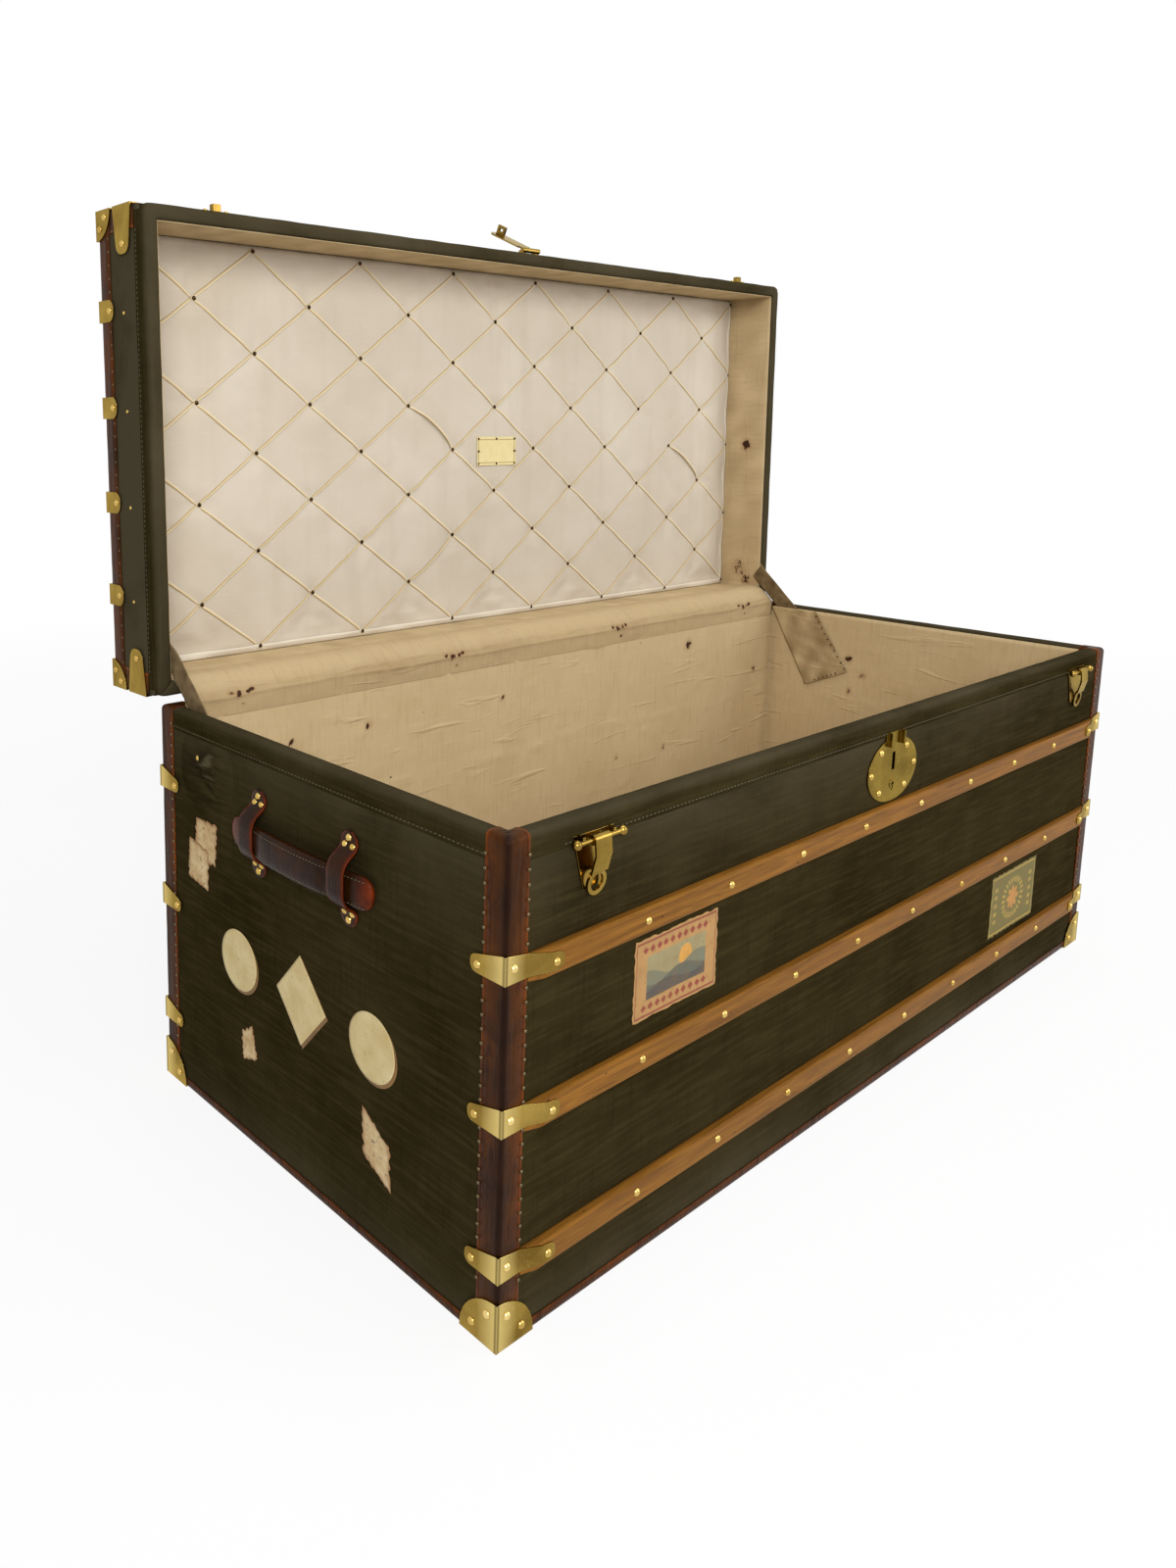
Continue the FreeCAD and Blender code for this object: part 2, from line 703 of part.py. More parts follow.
# Lock: an oval plate with a neck, slot and keyhole, and a sprung case let into the board.
lock_face = f"({half_y} + dims.lock_thick)"
oval = doc.addObject("Part::Ellipse", "lock_oval")
oval.setExpression("MajorRadius", "dims.lock_half_width")
oval.setExpression("MinorRadius", "dims.lock_half_height")
put(oval, ("0", minus(half_y), lock_level), facing("front"))
plate = doc.addObject("Part::Extrusion", "lock_disc")
plate.Base = oval
plate.DirMode = "Custom"
plate.Dir = outward["front"]
plate.Solid = True
plate.setExpression("LengthFwd", "dims.lock_thick")
plate_depth = span(-1, half_y, lock_face)
neck_rise = (lock_level, lock_top)
neck = slab("lock_neck", both("dims.lock_neck_half"), plate_depth, neck_rise)
cheek_far = "(dims.lock_cheek_in + dims.lock_cheek)"
cheek_depth = span(-1, half_y, f"({lock_face} + dims.lock_cheek_rise)")
cheek_rise = (f"{lock_top} - dims.lock_cheek_high", lock_top)
cheeks = []
for side, word in ((-1, "left"), (1, "right")):
    wide = span(side, "dims.lock_cheek_in", cheek_far)
    cheeks.append(slab(word + "_cheek", wide, cheek_depth, cheek_rise))
ring_start = ("0", minus(half_y), keyhole_level)
ring_rise = "dims.lock_thick + dims.keyhole_ring_rise"
ring = rod("keyhole_ring_boss", "dims.keyhole_ring", ring_rise, ring_start, "front")
cut_start = ("0", f"-{half_y} + dims.cut_overrun", keyhole_level)
cut_long = f"{ring_rise} + 2 * dims.cut_overrun"
key_round = rod("key_round", "dims.keyhole_radius", cut_long, cut_start, "front")
slit_depth = span(-1, f"({half_y} - dims.cut_overrun)", f"({lock_face} + dims.cut_overrun)")
slit_rise = (f"{keyhole_level} - dims.keyhole_drop", keyhole_level)
key_slit = slab("key_slit", both("dims.keyhole_slit"), slit_depth, slit_rise)
plate_slot = slab("plate_slot", both("dims.lock_slot_half"), slit_depth, slot_rise)
lock_solid = fuse("lock_solid", [plate, neck, *cheeks, ring])
lock_holes = fuse("lock_holes", [key_round, key_slit, plate_slot])
keep(cut("lock_pierced", lock_solid, lock_holes), "lock_plate")
for side in (-1, 1):
    for index, (wide, rise) in enumerate((("wide", 0), ("narrow", 1), ("narrow", -1))):
        at = (
            f"({side}) * dims.lock_rivet_{wide}",
            minus(lock_face),
            f"{lock_level} + ({rise}) * dims.lock_rivet_spread",
        )
        body_rivets.append(rivet(f"lock_rivet_{side + 1}_{index}", at, "front"))
case_outer = slab("case_outer", case_span, span(-1, case_back, board_y), case_rise)
case_room = slab(
    "case_room",
    both("dims.case_half_width - dims.case_wall"),
    span(-1, f"({case_back} + dims.case_wall)", mouth),
    (f"{case_low} + dims.case_wall", f"{case_high} - dims.case_wall"),
)
keep(cut("case_hollow", case_outer, case_room), "lock_case")

# Two draw latches on the front: a plate with a ball-ended bar, and a lever that turns on it.
latch_y = f"({half_y} + dims.latch_axis_out)"
for side, word in ((-1, "left"), (1, "right")):
    centre = f"({side}) * {latch_centre}"
    shape = [
        (minus("dims.latch_top_half"), latch_top),
        (minus("dims.latch_bottom_half"), latch_bottom),
        ("dims.latch_bottom_half", latch_bottom),
        ("dims.latch_top_half", latch_top),
    ]
    leaf = pad(word + "_latch_leaf", "XZ_Plane", shape, "dims.latch_plate_thick")
    put(leaf, (centre, f"-{half_y} - dims.latch_plate_thick / 2", "0"))
    bar_at = (f"{centre} - dims.latch_bar_half", minus(latch_y), latch_level)
    pieces = [leaf, rod(word + "_bar", "dims.latch_bar", "2 * dims.latch_bar_half", bar_at, "right")]
    for hand in (-1, 1):
        at = (f"{centre} + ({hand}) * dims.latch_bar_half", minus(latch_y), latch_level)
        pieces.append(ball(f"{word}_ball_{hand + 1}", "dims.latch_ball", at))
        low, high = span(hand, "dims.latch_ear_in", "(dims.latch_ear_in + dims.latch_ear)")
        wide = (f"{centre} + {low}", f"{centre} + {high}")
        ear_rise = (f"{latch_level} - dims.latch_bar", latch_top)
        ear = slab(f"{word}_ear_{hand + 1}", wide, span(-1, half_y, latch_y), ear_rise)
        pieces.append(ear)
    keep(fuse(word + "_latch_base", pieces), word + "_latch_plate")

    bow = minus("dims.lever_bow")
    low_bow = minus("dims.lever_low_bow")
    ring_far = minus("dims.lever_ring_near + dims.lever_ring_thick")
    bend = minus("dims.lever_bow_drop")
    low = minus("dims.lever_low")
    neck_end = minus("dims.lever_ring_centre - dims.lever_ring_hole - dims.lever_strip")
    strip = [
        (minus("dims.latch_knuckle"), "0"),
        (bow, bend),
        (low_bow, low),
        (ring_far, neck_end),
        (minus("dims.lever_ring_near"), neck_end),
        (f"{low_bow} + dims.lever_strip", low),
        (f"{bow} + dims.lever_strip", bend),
        (minus("dims.latch_bar + 2 * dims.running_gap"), "0"),
    ]
    lever = pad(word + "_lever_strip", "YZ_Plane", strip, "2 * dims.lever_half")
    start = (minus("dims.lever_half"), "0", "0")
    width = "2 * dims.lever_half"
    sleeve = rod(word + "_sleeve", "dims.latch_knuckle", width, start, "right")
    bore_at = (minus("dims.lever_half + dims.cut_overrun"), "0", "0")
    bore_long = "2 * (dims.lever_half + dims.cut_overrun)"
    bore = "dims.latch_bar + dims.running_gap"
    ring_at = ("0", minus("dims.lever_ring_near"), minus("dims.lever_ring_centre"))
    ring = rod(word + "_ring", "dims.lever_ring", "dims.lever_ring_thick", ring_at, "front")
    hole_at = ("0", "dims.cut_overrun", minus("dims.lever_ring_centre"))
    hole_long = "dims.lever_bow + 2 * dims.cut_overrun"
    holes = [
        rod(word + "_bore", bore, bore_long, bore_at, "right"),
        rod(word + "_ring_hole", "dims.lever_ring_hole", hole_long, hole_at, "front"),
    ]
    solid = fuse(word + "_lever_solid", [lever, sleeve, ring])
    hung = cut(word + "_lever_hung", solid, fuse(word + "_lever_holes", holes))
    hung.Placement = FreeCAD.Placement(FreeCAD.Vector(), FreeCAD.Rotation(X, 1))
    hung.setExpression("Placement.Rotation.Angle", "dims.lever_tilt")
    put(hung, (centre, minus(latch_y), latch_level))
    keep(hung, word + "_latch_lever")

# Side handles: two leather loops riveted to each end and a bowed leather grip through them.
handle_rivets = []
for side, word in ((-1, "left"), (1, "right")):
    turn = frame(X * side, Y * side)
    wall = half_x if side > 0 else minus(half_x)
    tab = "dims.loop_tab_end"
    strap = "dims.loop_strap"
    foot = "dims.loop_foot"
    head = "dims.loop_head"
    out = "dims.loop_out"
    crown = "dims.loop_out + dims.loop_strap"
    shoulder = "dims.loop_head + dims.loop_strap"
    ankle = "dims.loop_foot + dims.loop_strap"
    upper = [("0", tab), ("0", foot), (out, head)]
    lower = [(out, minus(head)), ("0", minus(foot)), ("0", minus(tab)), (strap, minus(tab))]
    outer = [(strap, minus(ankle)), (crown, minus(shoulder)), (crown, shoulder), (strap, ankle)]
    loops = []
    for hand in (-1, 1):
        name = f"{word}_loop_{hand + 1}"
        loop = pad(name, "XZ_Plane", upper + lower + outer + [(strap, tab)], "dims.loop_width")
        furthest = loop.Shape.BoundBox.XMax
        soften(
            loop,
            "dims.loop_outer_round",
            lambda centre, run: along(run, Y) and same(centre.x, furthest),
        )
        middle = f"({hand}) * dims.handle_loop_spread"
        loops.append(put(loop, (wall, middle, handle_level), turn))
        face = f"{wall} + ({side}) * dims.loop_strap"
        for up in (-1, 1):
            level = f"{handle_level} + ({up}) * dims.loop_rivet_far"
            stem = f"{name}_rivet_{up + 1}"
            handle_rivets.append(rivet(stem + "_far", (face, middle, level), word))
            level = f"{handle_level} + ({up}) * dims.loop_rivet_near"
            for step in (-1, 1):
                deep = f"{middle} + ({step}) * dims.loop_rivet_side"
                handle_rivets.append(rivet(f"{stem}_near_{step + 1}", (face, deep, level), word))
    keep(group(word + "_loops", loops), word + "_handle_loops")

    grip = doc.addObject("PartDesign::Body", word + "_grip")
    near = "dims.grip_radius"
    far = "dims.grip_radius + dims.grip_thick"
    tall = "dims.grip_half_height"
    section = [(near, minus(tall)), (far, minus(tall)), (far, tall), (near, tall)]
    sweep = grip.newObject("PartDesign::Revolution", word + "_grip_sweep")
    sweep.Profile = outline(grip, "XZ_Plane", section)
    sweep.ReferenceAxis = (sweep.Profile[0], ["V_Axis"])
    sweep.Midplane = True
    sweep.setExpression("Angle", "2 * dims.grip_half_angle")
    doc.recompute()
    height = grip.Shape.BoundBox.ZMax
    soften(
        grip,
        "dims.grip_end_round",
        lambda centre, run: abs(run.z) < abs(run.x) and same(abs(centre.z), height)
        and abs(centre.y) > 2 * height and not along(run, Y),
    )
    soften(
        grip,
        "dims.grip_round",
        lambda centre, run: same(abs(centre.z), height) and along(run, Y),
    )
    centre = f"({side}) * ({half_x} + dims.grip_stand_off - dims.grip_radius)"
    put(grip, (centre, "0", f"{handle_level} - dims.grip_sag"), turn)
    keep(grip, word + "_handle_grip")
keep(group("loop_rivets", handle_rivets), "handle_rivets")

# Four butt hinges outside the back: leaves with barrels, and a pin through each.
hinge_near = "(dims.trunk_length * dims.hinge_near_share)"
hinge_far = f"({half_x} - dims.hinge_inset)"
hinge_places = [minus(hinge_far), minus(hinge_near), hinge_near, hinge_far]
middle_end = "(dims.hinge_middle_half + dims.side_gap)"
bore = "dims.hinge_pin + dims.running_gap"
leaf_depth = span(1, half_y, f"({half_y} + dims.hinge_leaf)")
web_depth = span(1, half_y, f"({half_y} + dims.hinge_web_out)")


def leaf(name, centre, up, barrels):
    """Hinge leaf on the back face, joined to its barrel by a short web."""
    edge = f"({hinge_z} + ({up}) * dims.hinge_web)"
    end = f"({hinge_z} + ({up}) * dims.hinge_leaf_high)"
    web_near = f"({hinge_z} + ({up}) * dims.hinge_pin)"
    level = (edge, end) if up > 0 else (end, edge)
    web_level = (web_near, edge) if up > 0 else (edge, web_near)
    wide = (f"{centre} - dims.hinge_half", f"{centre} + dims.hinge_half")
    pieces = [slab(name + "_plate", wide, leaf_depth, level)]
    for index, (low, high) in enumerate(barrels):
        ends = (f"{centre} + {low}", f"{centre} + {high}")
        start = (ends[0], hinge_y, hinge_z)
        long = f"({high}) - ({low})"
        pieces.append(slab(f"{name}_web_{index}", ends, web_depth, web_level))
        pieces.append(rod(f"{name}_barrel_{index}", "dims.hinge_barrel", long, start, "right"))
    hole_at = (f"{centre} - dims.hinge_half - dims.cut_overrun", hinge_y, hinge_z)
    hole_long = "2 * (dims.hinge_half + dims.cut_overrun)"
    hole = rod(name + "_bore", bore, hole_long, hole_at, "right")
    return cut(name, fuse(name + "_solid", pieces), hole)


body_leaves = []
lid_leaves = []
pins = []
lid_rivets = []
for index, centre in enumerate(hinge_places):
    outer = [span(-1, middle_end, "dims.hinge_half"), span(1, middle_end, "dims.hinge_half")]
    body_leaves.append(leaf(f"body_leaf_{index}", centre, -1, outer))
    lid_leaves.append(leaf(f"lid_leaf_{index}", centre, 1, [both("dims.hinge_middle_half")]))
    start = (f"{centre} - dims.hinge_half", hinge_y, hinge_z)
    pins.append(rod(f"pin_{index}", "dims.hinge_pin", "2 * dims.hinge_half", start, "right"))
    for step in (-1, 0, 1):
        across = f"{centre} + ({step}) * dims.hinge_rivet_side"
        face = f"{half_y} + dims.hinge_leaf"
        stem = f"hinge_rivet_{index}_{step + 1}"
        low = f"{hinge_z} - dims.hinge_rivet_level"
        high = f"{hinge_z} + dims.hinge_rivet_level"
        body_rivets.append(rivet(stem + "_body", (across, face, low), "back"))
        lid_rivets.append(rivet(stem + "_lid", (across, face, high), "back"))
keep(group("body_leaves", body_leaves), "hinge_body_leaves")
keep(group("pins", pins), "hinge_pins")
keep(group("all_body_rivets", body_rivets), "body_rivets")

# Cloth stays from the body's end walls to the lid's, drawn straight while the lid is open.
for side, word in ((-1, "left"), (1, "right")):
    stay = doc.addObject("Part::Box", word + "_stay")
    stay.setExpression("Length", "dims.stay_thick")
    stay.setExpression("Width", "dims.stay_width")
    stay.setExpression("Height", "dims.stay_length")
    stay.Placement = FreeCAD.Placement(FreeCAD.Vector(), FreeCAD.Rotation(-X, 1))
    stay.setExpression("Placement.Rotation.Angle", "dims.stay_tilt")
    inside = f"({room_x} - dims.stay_clear)"
    low = inside + " - dims.stay_thick" if side > 0 else minus(inside)
    deep = f"{half_y} - dims.stay_low_inset - dims.stay_width / 2 * cos(dims.stay_tilt)"
    level = f"{rim_top} - dims.stay_low_drop + dims.stay_width / 2 * sin(dims.stay_tilt)"
    put(stay, (low, deep, level))
    keep(stay, word + "_lid_stay")

# Lining cloth carried over the back rims, so that the hinge line is closed inside.
cloth_out = f"({room_y} - dims.dust_clear)"
cloth_in = f"({cloth_out} - dims.dust_cloth)"
shoulder = f"({rim_top} - dims.dust_shoulder)"
hem = f"({rim_top} - dims.dust_hem)"
sill = f"({hinge_z} + dims.hinge_axis_out + {half_y} - {room_y} + dims.dust_clear)"
sill_top = f"({sill} + dims.dust_cloth)"
sill_end = f"({hinge_y} + dims.dust_lid_hem)"
under_side = [(sill_end, sill), (hinge_y, sill), (cloth_out, shoulder), (cloth_out, hem)]
upper_side = [(cloth_in, hem), (cloth_in, shoulder), (hinge_y, sill_top), (sill_end, sill_top)]
dust_length = f"2 * ({room_x} - dims.dust_end)"
keep(pad("dust_strip", "YZ_Plane", under_side + upper_side, dust_length), "hinge_cloth")

# Lid carcass: a top board between four walls, built closed and swung open.
lid_rise = (lid_wall_low, lid_board_top)
top_rise = (lid_board_low, lid_board_top)
keep_on_lid([slab("top_board", both(inner_x), both(inner_y), top_rise)], "lid_top_panel")
for side, word in ((-1, "front"), (1, "back")):
    wall = slab(f"lid_{word}_board", both(board_x), span(side, inner_y, board_y), lid_rise)
    keep_on_lid([wall], f"lid_{word}_wall")
for side, word in ((-1, "left"), (1, "right")):
    wall = slab(f"lid_{word}_board", span(side, inner_x, board_x), both(inner_y), lid_rise)
    keep_on_lid([wall], f"lid_{word}_wall")

# Lid canvas, lining and bound rim.
covers = [slab("lid_top_cloth", both(half_x), both(half_y), (lid_board_top, lid_top))]
for side, word in ((-1, "front"), (1, "back")):
    deep = span(side, board_y, half_y)
    covers.append(slab(f"lid_{word}_cloth", both(board_x), deep, lid_rise))
for side, word in ((-1, "left"), (1, "right")):
    wide = span(side, board_x, half_x)
    covers.append(slab(f"lid_{word}_cloth", wide, both(half_y), lid_rise))
keep_on_lid(covers, "lid_canvas")
lid_lining_rise = (lid_wall_low, lid_board_low)
lid_linings = []
for side, word in ((-1, "front"), (1, "back")):
    deep = span(side, room_y, inner_y)
    lid_linings.append(slab(f"lid_{word}_lining", both(inner_x), deep, lid_lining_rise))
for side, word in ((-1, "left"), (1, "right")):
    wide = span(side, room_x, inner_x)
    lid_linings.append(slab(f"lid_{word}_lining", wide, both(room_y), lid_lining_rise))
keep_on_lid(lid_linings, "lid_lining")
keep_on_lid(rim("lid_rim", "dims.lid_rim_height", lid_low, False), "lid_rim")

# Quilted pad under the lid's top board, its open edges rounded.
pad_x = f"({room_x} - dims.pad_gap)"
pad_y = f"({room_y} - dims.pad_gap)"
pad_front = [(minus(pad_x), minus(pad_y)), (pad_x, minus(pad_y))]
pad_plan = pad_front + [(pad_x, pad_y), (minus(pad_x), pad_y)]
quilt = pad("quilt", "XY_Plane", pad_plan, "dims.pad_thick")
lowest = quilt.Shape.BoundBox.ZMin
soften(quilt, "dims.pad_round", lambda centre, run: same(centre.z, lowest))
put(quilt, ("0", "0", f"{lid_board_low} - dims.pad_thick / 2"))
keep_on_lid([quilt], "lid_pad")

# Leather on the lid's upright corners and round its top edges.
lid_upright = f"({lid_top} - {lid_low} - dims.leather_leg - dims.seam_gap)"
lid_upright_level = f"{lid_low} + {lid_upright} / 2"
lid_bindings = []
for name, side, hand, where, turn in corners:
    seat = (*where, lid_upright_level)
    lid_bindings.append(angle_strip("lid_binding_" + name, lid_upright, seat, turn))
keep_on_lid(lid_bindings, "lid_corner_leathers")
long_edge = f"2 * {skin_x}"
short_edge = f"2 * ({half_y} - dims.leather_leg - dims.seam_gap)"
top_edges = [
    angle_strip("front_edge", long_edge, ("0", minus(half_y), lid_top), frame(Y, -Z)),
    angle_strip("back_edge", long_edge, ("0", half_y, lid_top), frame(-Y, -Z)),
    angle_strip("left_edge", short_edge, (minus(half_x), "0", lid_top), frame(X, -Z)),
    angle_strip("right_edge", short_edge, (half_x, "0", lid_top), frame(-X, -Z)),
]
keep_on_lid(top_edges, "lid_edge_leathers")

# Four slats along the lid's top, with clamps folded down over its ends.
lid_straps = []
slat_top = f"{lid_top} + dims.slat_thick"
for row in ("front", "second", "third", "back"):
    deep = f"-{half_y} + dims.trunk_depth * dims.lid_slat_{row}_share"
    keep_on_lid([slat(f"lid_slat_{row}_wood", ("0", deep, lid_top), frame(X, Z))], f"lid_slat_{row}")
    for index, across in enumerate(rivet_places):
        lid_rivets.append(rivet(f"lid_slat_{row}_rivet_{index}", (across, deep, slat_top), "up"))
    for side, word in ((-1, "left"), (1, "right")):
        edge = half_x if side > 0 else minus(half_x)
        name = f"lid_clamp_{row}_{word}"
        strap = clamp(name, "dims.lid_tab", "dims.lid_strap_tip", "dims.lid_strap_height")
        strap_at = (edge, deep, lid_top)
        lid_straps.append(put(round_tips(strap, "dims.lid_strap_round"), strap_at, frame(-X * side, -Z)))
        tip = f"{edge} - ({side}) * dims.lid_strap_rivet"
        lid_rivets.append(rivet(name + "_tip", (tip, deep, f"{slat_top} + dims.brass"), "up"))
        end_face = f"({side}) * {brass_x}"
        end_level = f"{lid_top} - dims.lid_tab_rivet"
        lid_rivets.append(rivet(name + "_end", (end_face, deep, end_level), word))
keep_on_lid(lid_straps, "lid_slat_clamps")

# Brass caps on the lid's top corners, and tongues round its upright corners at the rim.
lid_caps = []
tongues = []
lid_skin = f"({lid_top} + dims.leather)"
lid_brass = f"({lid_skin} + dims.brass)"
cap_low = f"({lid_brass} - dims.lid_cap_reach)"
tongue_level = f"({lid_low} + dims.tongue_level)"
for name, side, hand, where, turn in corners:
    core_low = f"{cap_low} - dims.cut_overrun"
    stem = "lid_cap_" + name
    limits = (cap_low, lid_brass, core_low, lid_skin)
    lid_caps.append(cap(stem, "dims.lid_cap_reach", side, hand, *limits, lid_brass))
    lid_rivets += cap_rivets("lid_cap_rivet_" + name, "lid_cap", side, hand, lid_brass, -1)
    skin = minus("dims.leather")
    back = minus("dims.leather + dims.brass")
    inner = [(skin, "dims.tongue_long"), (skin, skin), ("dims.tongue_short", skin)]
    outer = [("dims.tongue_short", back), (back, back), (back, "dims.tongue_long")]
    tongue = pad("tongue_" + name, "XY_Plane", inner + outer, "dims.tongue_height")
    for plane, leg in (("XZ_Plane", "dims.tongue_short"), ("YZ_Plane", "dims.tongue_long")):
        tip_height = "(dims.tongue_height + dims.tongue_tip_height) / 2"
        slope(tongue, plane, leg, "dims.tongue_height", tip_height, 1)
        slope(tongue, plane, leg, "dims.tongue_height", tip_height, -1)
    tongues.append(put(round_tips(tongue, "dims.tongue_round"), (*where, tongue_level), turn))
    end_way = "right" if side > 0 else "left"
    deep_way = "back" if hand > 0 else "front"
    deep = f"{where[1]} - ({hand}) * (dims.tongue_long - dims.tongue_rivet_inset)"
    across = f"{where[0]} - ({side}) * (dims.tongue_short - dims.tongue_rivet_inset)"
    end_at = (f"({side}) * {brass_x}", deep, tongue_level)
    face_at = (across, f"({hand}) * {brass_y}", tongue_level)
    lid_rivets.append(rivet(f"tongue_rivet_{name}_end", end_at, end_way))
    lid_rivets.append(rivet(f"tongue_rivet_{name}_face", face_at, deep_way))
keep_on_lid(lid_caps, "lid_corner_caps")
keep_on_lid(tongues, "lid_corner_clamps")
keep_on_lid(lid_leaves, "hinge_lid_leaves")

# Hasp base on the lid's front wall, with the pin its hasp turns on.
hasp_z = f"({lid_low} + dims.hasp_axis_rise)"
hasp_y = f"({half_y} + dims.hasp_axis_out)"
base_rise = (f"{lid_low} + dims.hasp_base_low", f"{lid_low} + dims.hasp_base_high")
base_depth = span(-1, half_y, lock_face)
base_pieces = [slab("hasp_leaf", both("dims.hasp_base_half"), base_depth, base_rise)]
knuckle_near = "(dims.hasp_neck_half + dims.side_gap)"
for side in (-1, 1):
    low, high = span(side, knuckle_near, "dims.hasp_base_half")
    start = (low, minus(hasp_y), hasp_z)
    long = f"({high}) - ({low})"
    base_pieces.append(rod(f"hasp_knuckle_{side + 1}", "dims.hasp_knuckle", long, start, "right"))
    web_rise = (hasp_z, f"{lid_low} + dims.hasp_base_low + dims.cut_overrun")
    base_pieces.append(slab(f"hasp_web_{side + 1}", (low, high), span(-1, half_y, hasp_y), web_rise))
pin_at = (minus("dims.hasp_base_half"), minus(hasp_y), hasp_z)
base_pieces.append(rod("hasp_pin", "dims.hasp_pin", "2 * dims.hasp_base_half", pin_at, "right"))
keep_on_lid([fuse("hasp_fixed", base_pieces)], "hasp_base")

# Hasp, drawn locked about its own pin line, then thrown up against the lid's wall.
thick = both("dims.hasp_thick / 2")
neck_rise = (minus("dims.hasp_neck_long"), "0")
blade_rise = (minus("dims.hasp_tip_centre"), minus("dims.hasp_neck_long"))
tip_at = ("0", "dims.hasp_thick / 2", minus("dims.hasp_tip_centre"))
knuckle_at = (minus("dims.hasp_neck_half"), "0", "0")
knuckle_long = "2 * dims.hasp_neck_half"
staple_rise = (minus("dims.staple_low"), minus("dims.staple_high"))
eye_rise = (f"{staple_rise[0]} + dims.staple_wall", f"{staple_rise[1]} - dims.staple_wall")
eye_depth = ("dims.hasp_thick + dims.staple_wall", "dims.staple_reach - dims.staple_wall")
staple = slab("staple_block", both("dims.staple_half"), ("0", "dims.staple_reach"), staple_rise)
eye_wide = both("dims.staple_half + dims.cut_overrun")
hasp_pieces = [
    slab("hasp_neck", both("dims.hasp_neck_half"), thick, neck_rise),
    slab("hasp_blade", both("dims.hasp_half_width"), thick, blade_rise),
    rod("hasp_tip", "dims.hasp_half_width", "dims.hasp_thick", tip_at, "front"),
    rod("hasp_sleeve", "dims.hasp_knuckle", knuckle_long, knuckle_at, "right"),
    cut("staple", staple, slab("staple_eye", eye_wide, eye_depth, eye_rise)),
]
hasp_bore_at = (minus("dims.hasp_neck_half + dims.cut_overrun"), "0", "0")
hasp_bore_long = "2 * (dims.hasp_neck_half + dims.cut_overrun)"
hasp_bore = "dims.hasp_pin + dims.running_gap"
hasp_hole = rod("hasp_bore", hasp_bore, hasp_bore_long, hasp_bore_at, "right")
thrown = cut("hasp_thrown", fuse("hasp_solid", hasp_pieces), hasp_hole)
thrown.Placement = FreeCAD.Placement(FreeCAD.Vector(), FreeCAD.Rotation(-X, 1))
thrown.setExpression("Placement.Rotation.Angle", "dims.hasp_swing")
put(thrown, ("0", minus(hasp_y), hasp_z))
keep_on_lid([thrown], "hasp")

# Keepers on the lid's front wall, which the latch rings hook over.
keepers = []
for side, word in ((-1, "left"), (1, "right")):
    centre = f"({side}) * {latch_centre}"
    level = f"({lid_low} + dims.keeper_rise)"
    foot = slab(
        word + "_keeper_foot",
        (f"{centre} - dims.keeper_half", f"{centre} + dims.keeper_half"),
        span(-1, half_y, f"({half_y} + dims.keeper_base)"),
        (f"{level} - dims.keeper_base_half", f"{level} + dims.keeper_base_half"),
    )
    block = slab(
        word + "_keeper_block",
        (f"{centre} - dims.keeper_block_half", f"{centre} + dims.keeper_block_half"),
        span(-1, half_y, f"({half_y} + dims.keeper_out)"),
        (f"{level} - dims.keeper_block_high", f"{level} + dims.keeper_block_high"),
    )
    keepers.append(fuse(word + "_keeper", [foot, block]))
    for step in (-1, 1):
        across = f"{centre} + ({step}) * dims.keeper_rivet"
        face = f"-{half_y} - dims.keeper_base"
        lid_rivets.append(rivet(f"{word}_keeper_rivet_{step + 1}", (across, face, level), "front"))
keep_on_lid(keepers, "latch_keepers")
keep_on_lid(lid_rivets, "lid_rivets")

doc.recompute()
for item in doc.Objects:
    if "Invalid" in item.State or "Error" in item.State:
        raise RuntimeError(f"{item.Name} did not build")
for node in nodes:
    if node.Shape.isNull() or not node.Shape.isValid() or not node.Shape.Solids:
        raise RuntimeError(f"{node.Label} has no sound solid")
    node.Shape.exportStep(f"parts/{node.Label}.step")
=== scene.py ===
import math

import bmesh
import bpy
import numpy as np
from mathutils import Matrix, Vector


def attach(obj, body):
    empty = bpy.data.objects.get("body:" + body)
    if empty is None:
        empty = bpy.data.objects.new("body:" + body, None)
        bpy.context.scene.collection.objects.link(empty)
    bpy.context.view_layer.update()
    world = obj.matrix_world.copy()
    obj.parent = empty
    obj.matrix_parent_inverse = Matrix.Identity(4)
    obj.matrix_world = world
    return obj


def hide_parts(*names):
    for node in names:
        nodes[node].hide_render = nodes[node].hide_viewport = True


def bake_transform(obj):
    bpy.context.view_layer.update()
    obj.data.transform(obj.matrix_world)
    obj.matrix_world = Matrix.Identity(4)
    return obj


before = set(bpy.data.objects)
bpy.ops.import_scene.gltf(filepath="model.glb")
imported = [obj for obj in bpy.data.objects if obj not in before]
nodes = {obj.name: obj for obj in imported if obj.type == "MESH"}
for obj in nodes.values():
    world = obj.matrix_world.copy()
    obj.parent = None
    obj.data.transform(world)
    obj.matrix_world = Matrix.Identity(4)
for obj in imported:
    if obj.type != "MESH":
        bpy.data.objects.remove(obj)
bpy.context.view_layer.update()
MM = 0.001

# Boards. Trunk and lid are boxes of sawn poplar, nailed at the corners.
# Canvas covers them outside and lining inside, so they keep their plain CAD shape.


def tone(red, green, blue):
    """A colour as the eye sees it, 0 to 255, turned into the linear one that a shader works with."""
    seen = np.array((red, green, blue)) / 255
    linear = np.where(seen > 0.04, ((seen + 0.055) / 1.055) ** 2.4, seen / 12.92)
    return (*(float(part) for part in linear), 1.0)


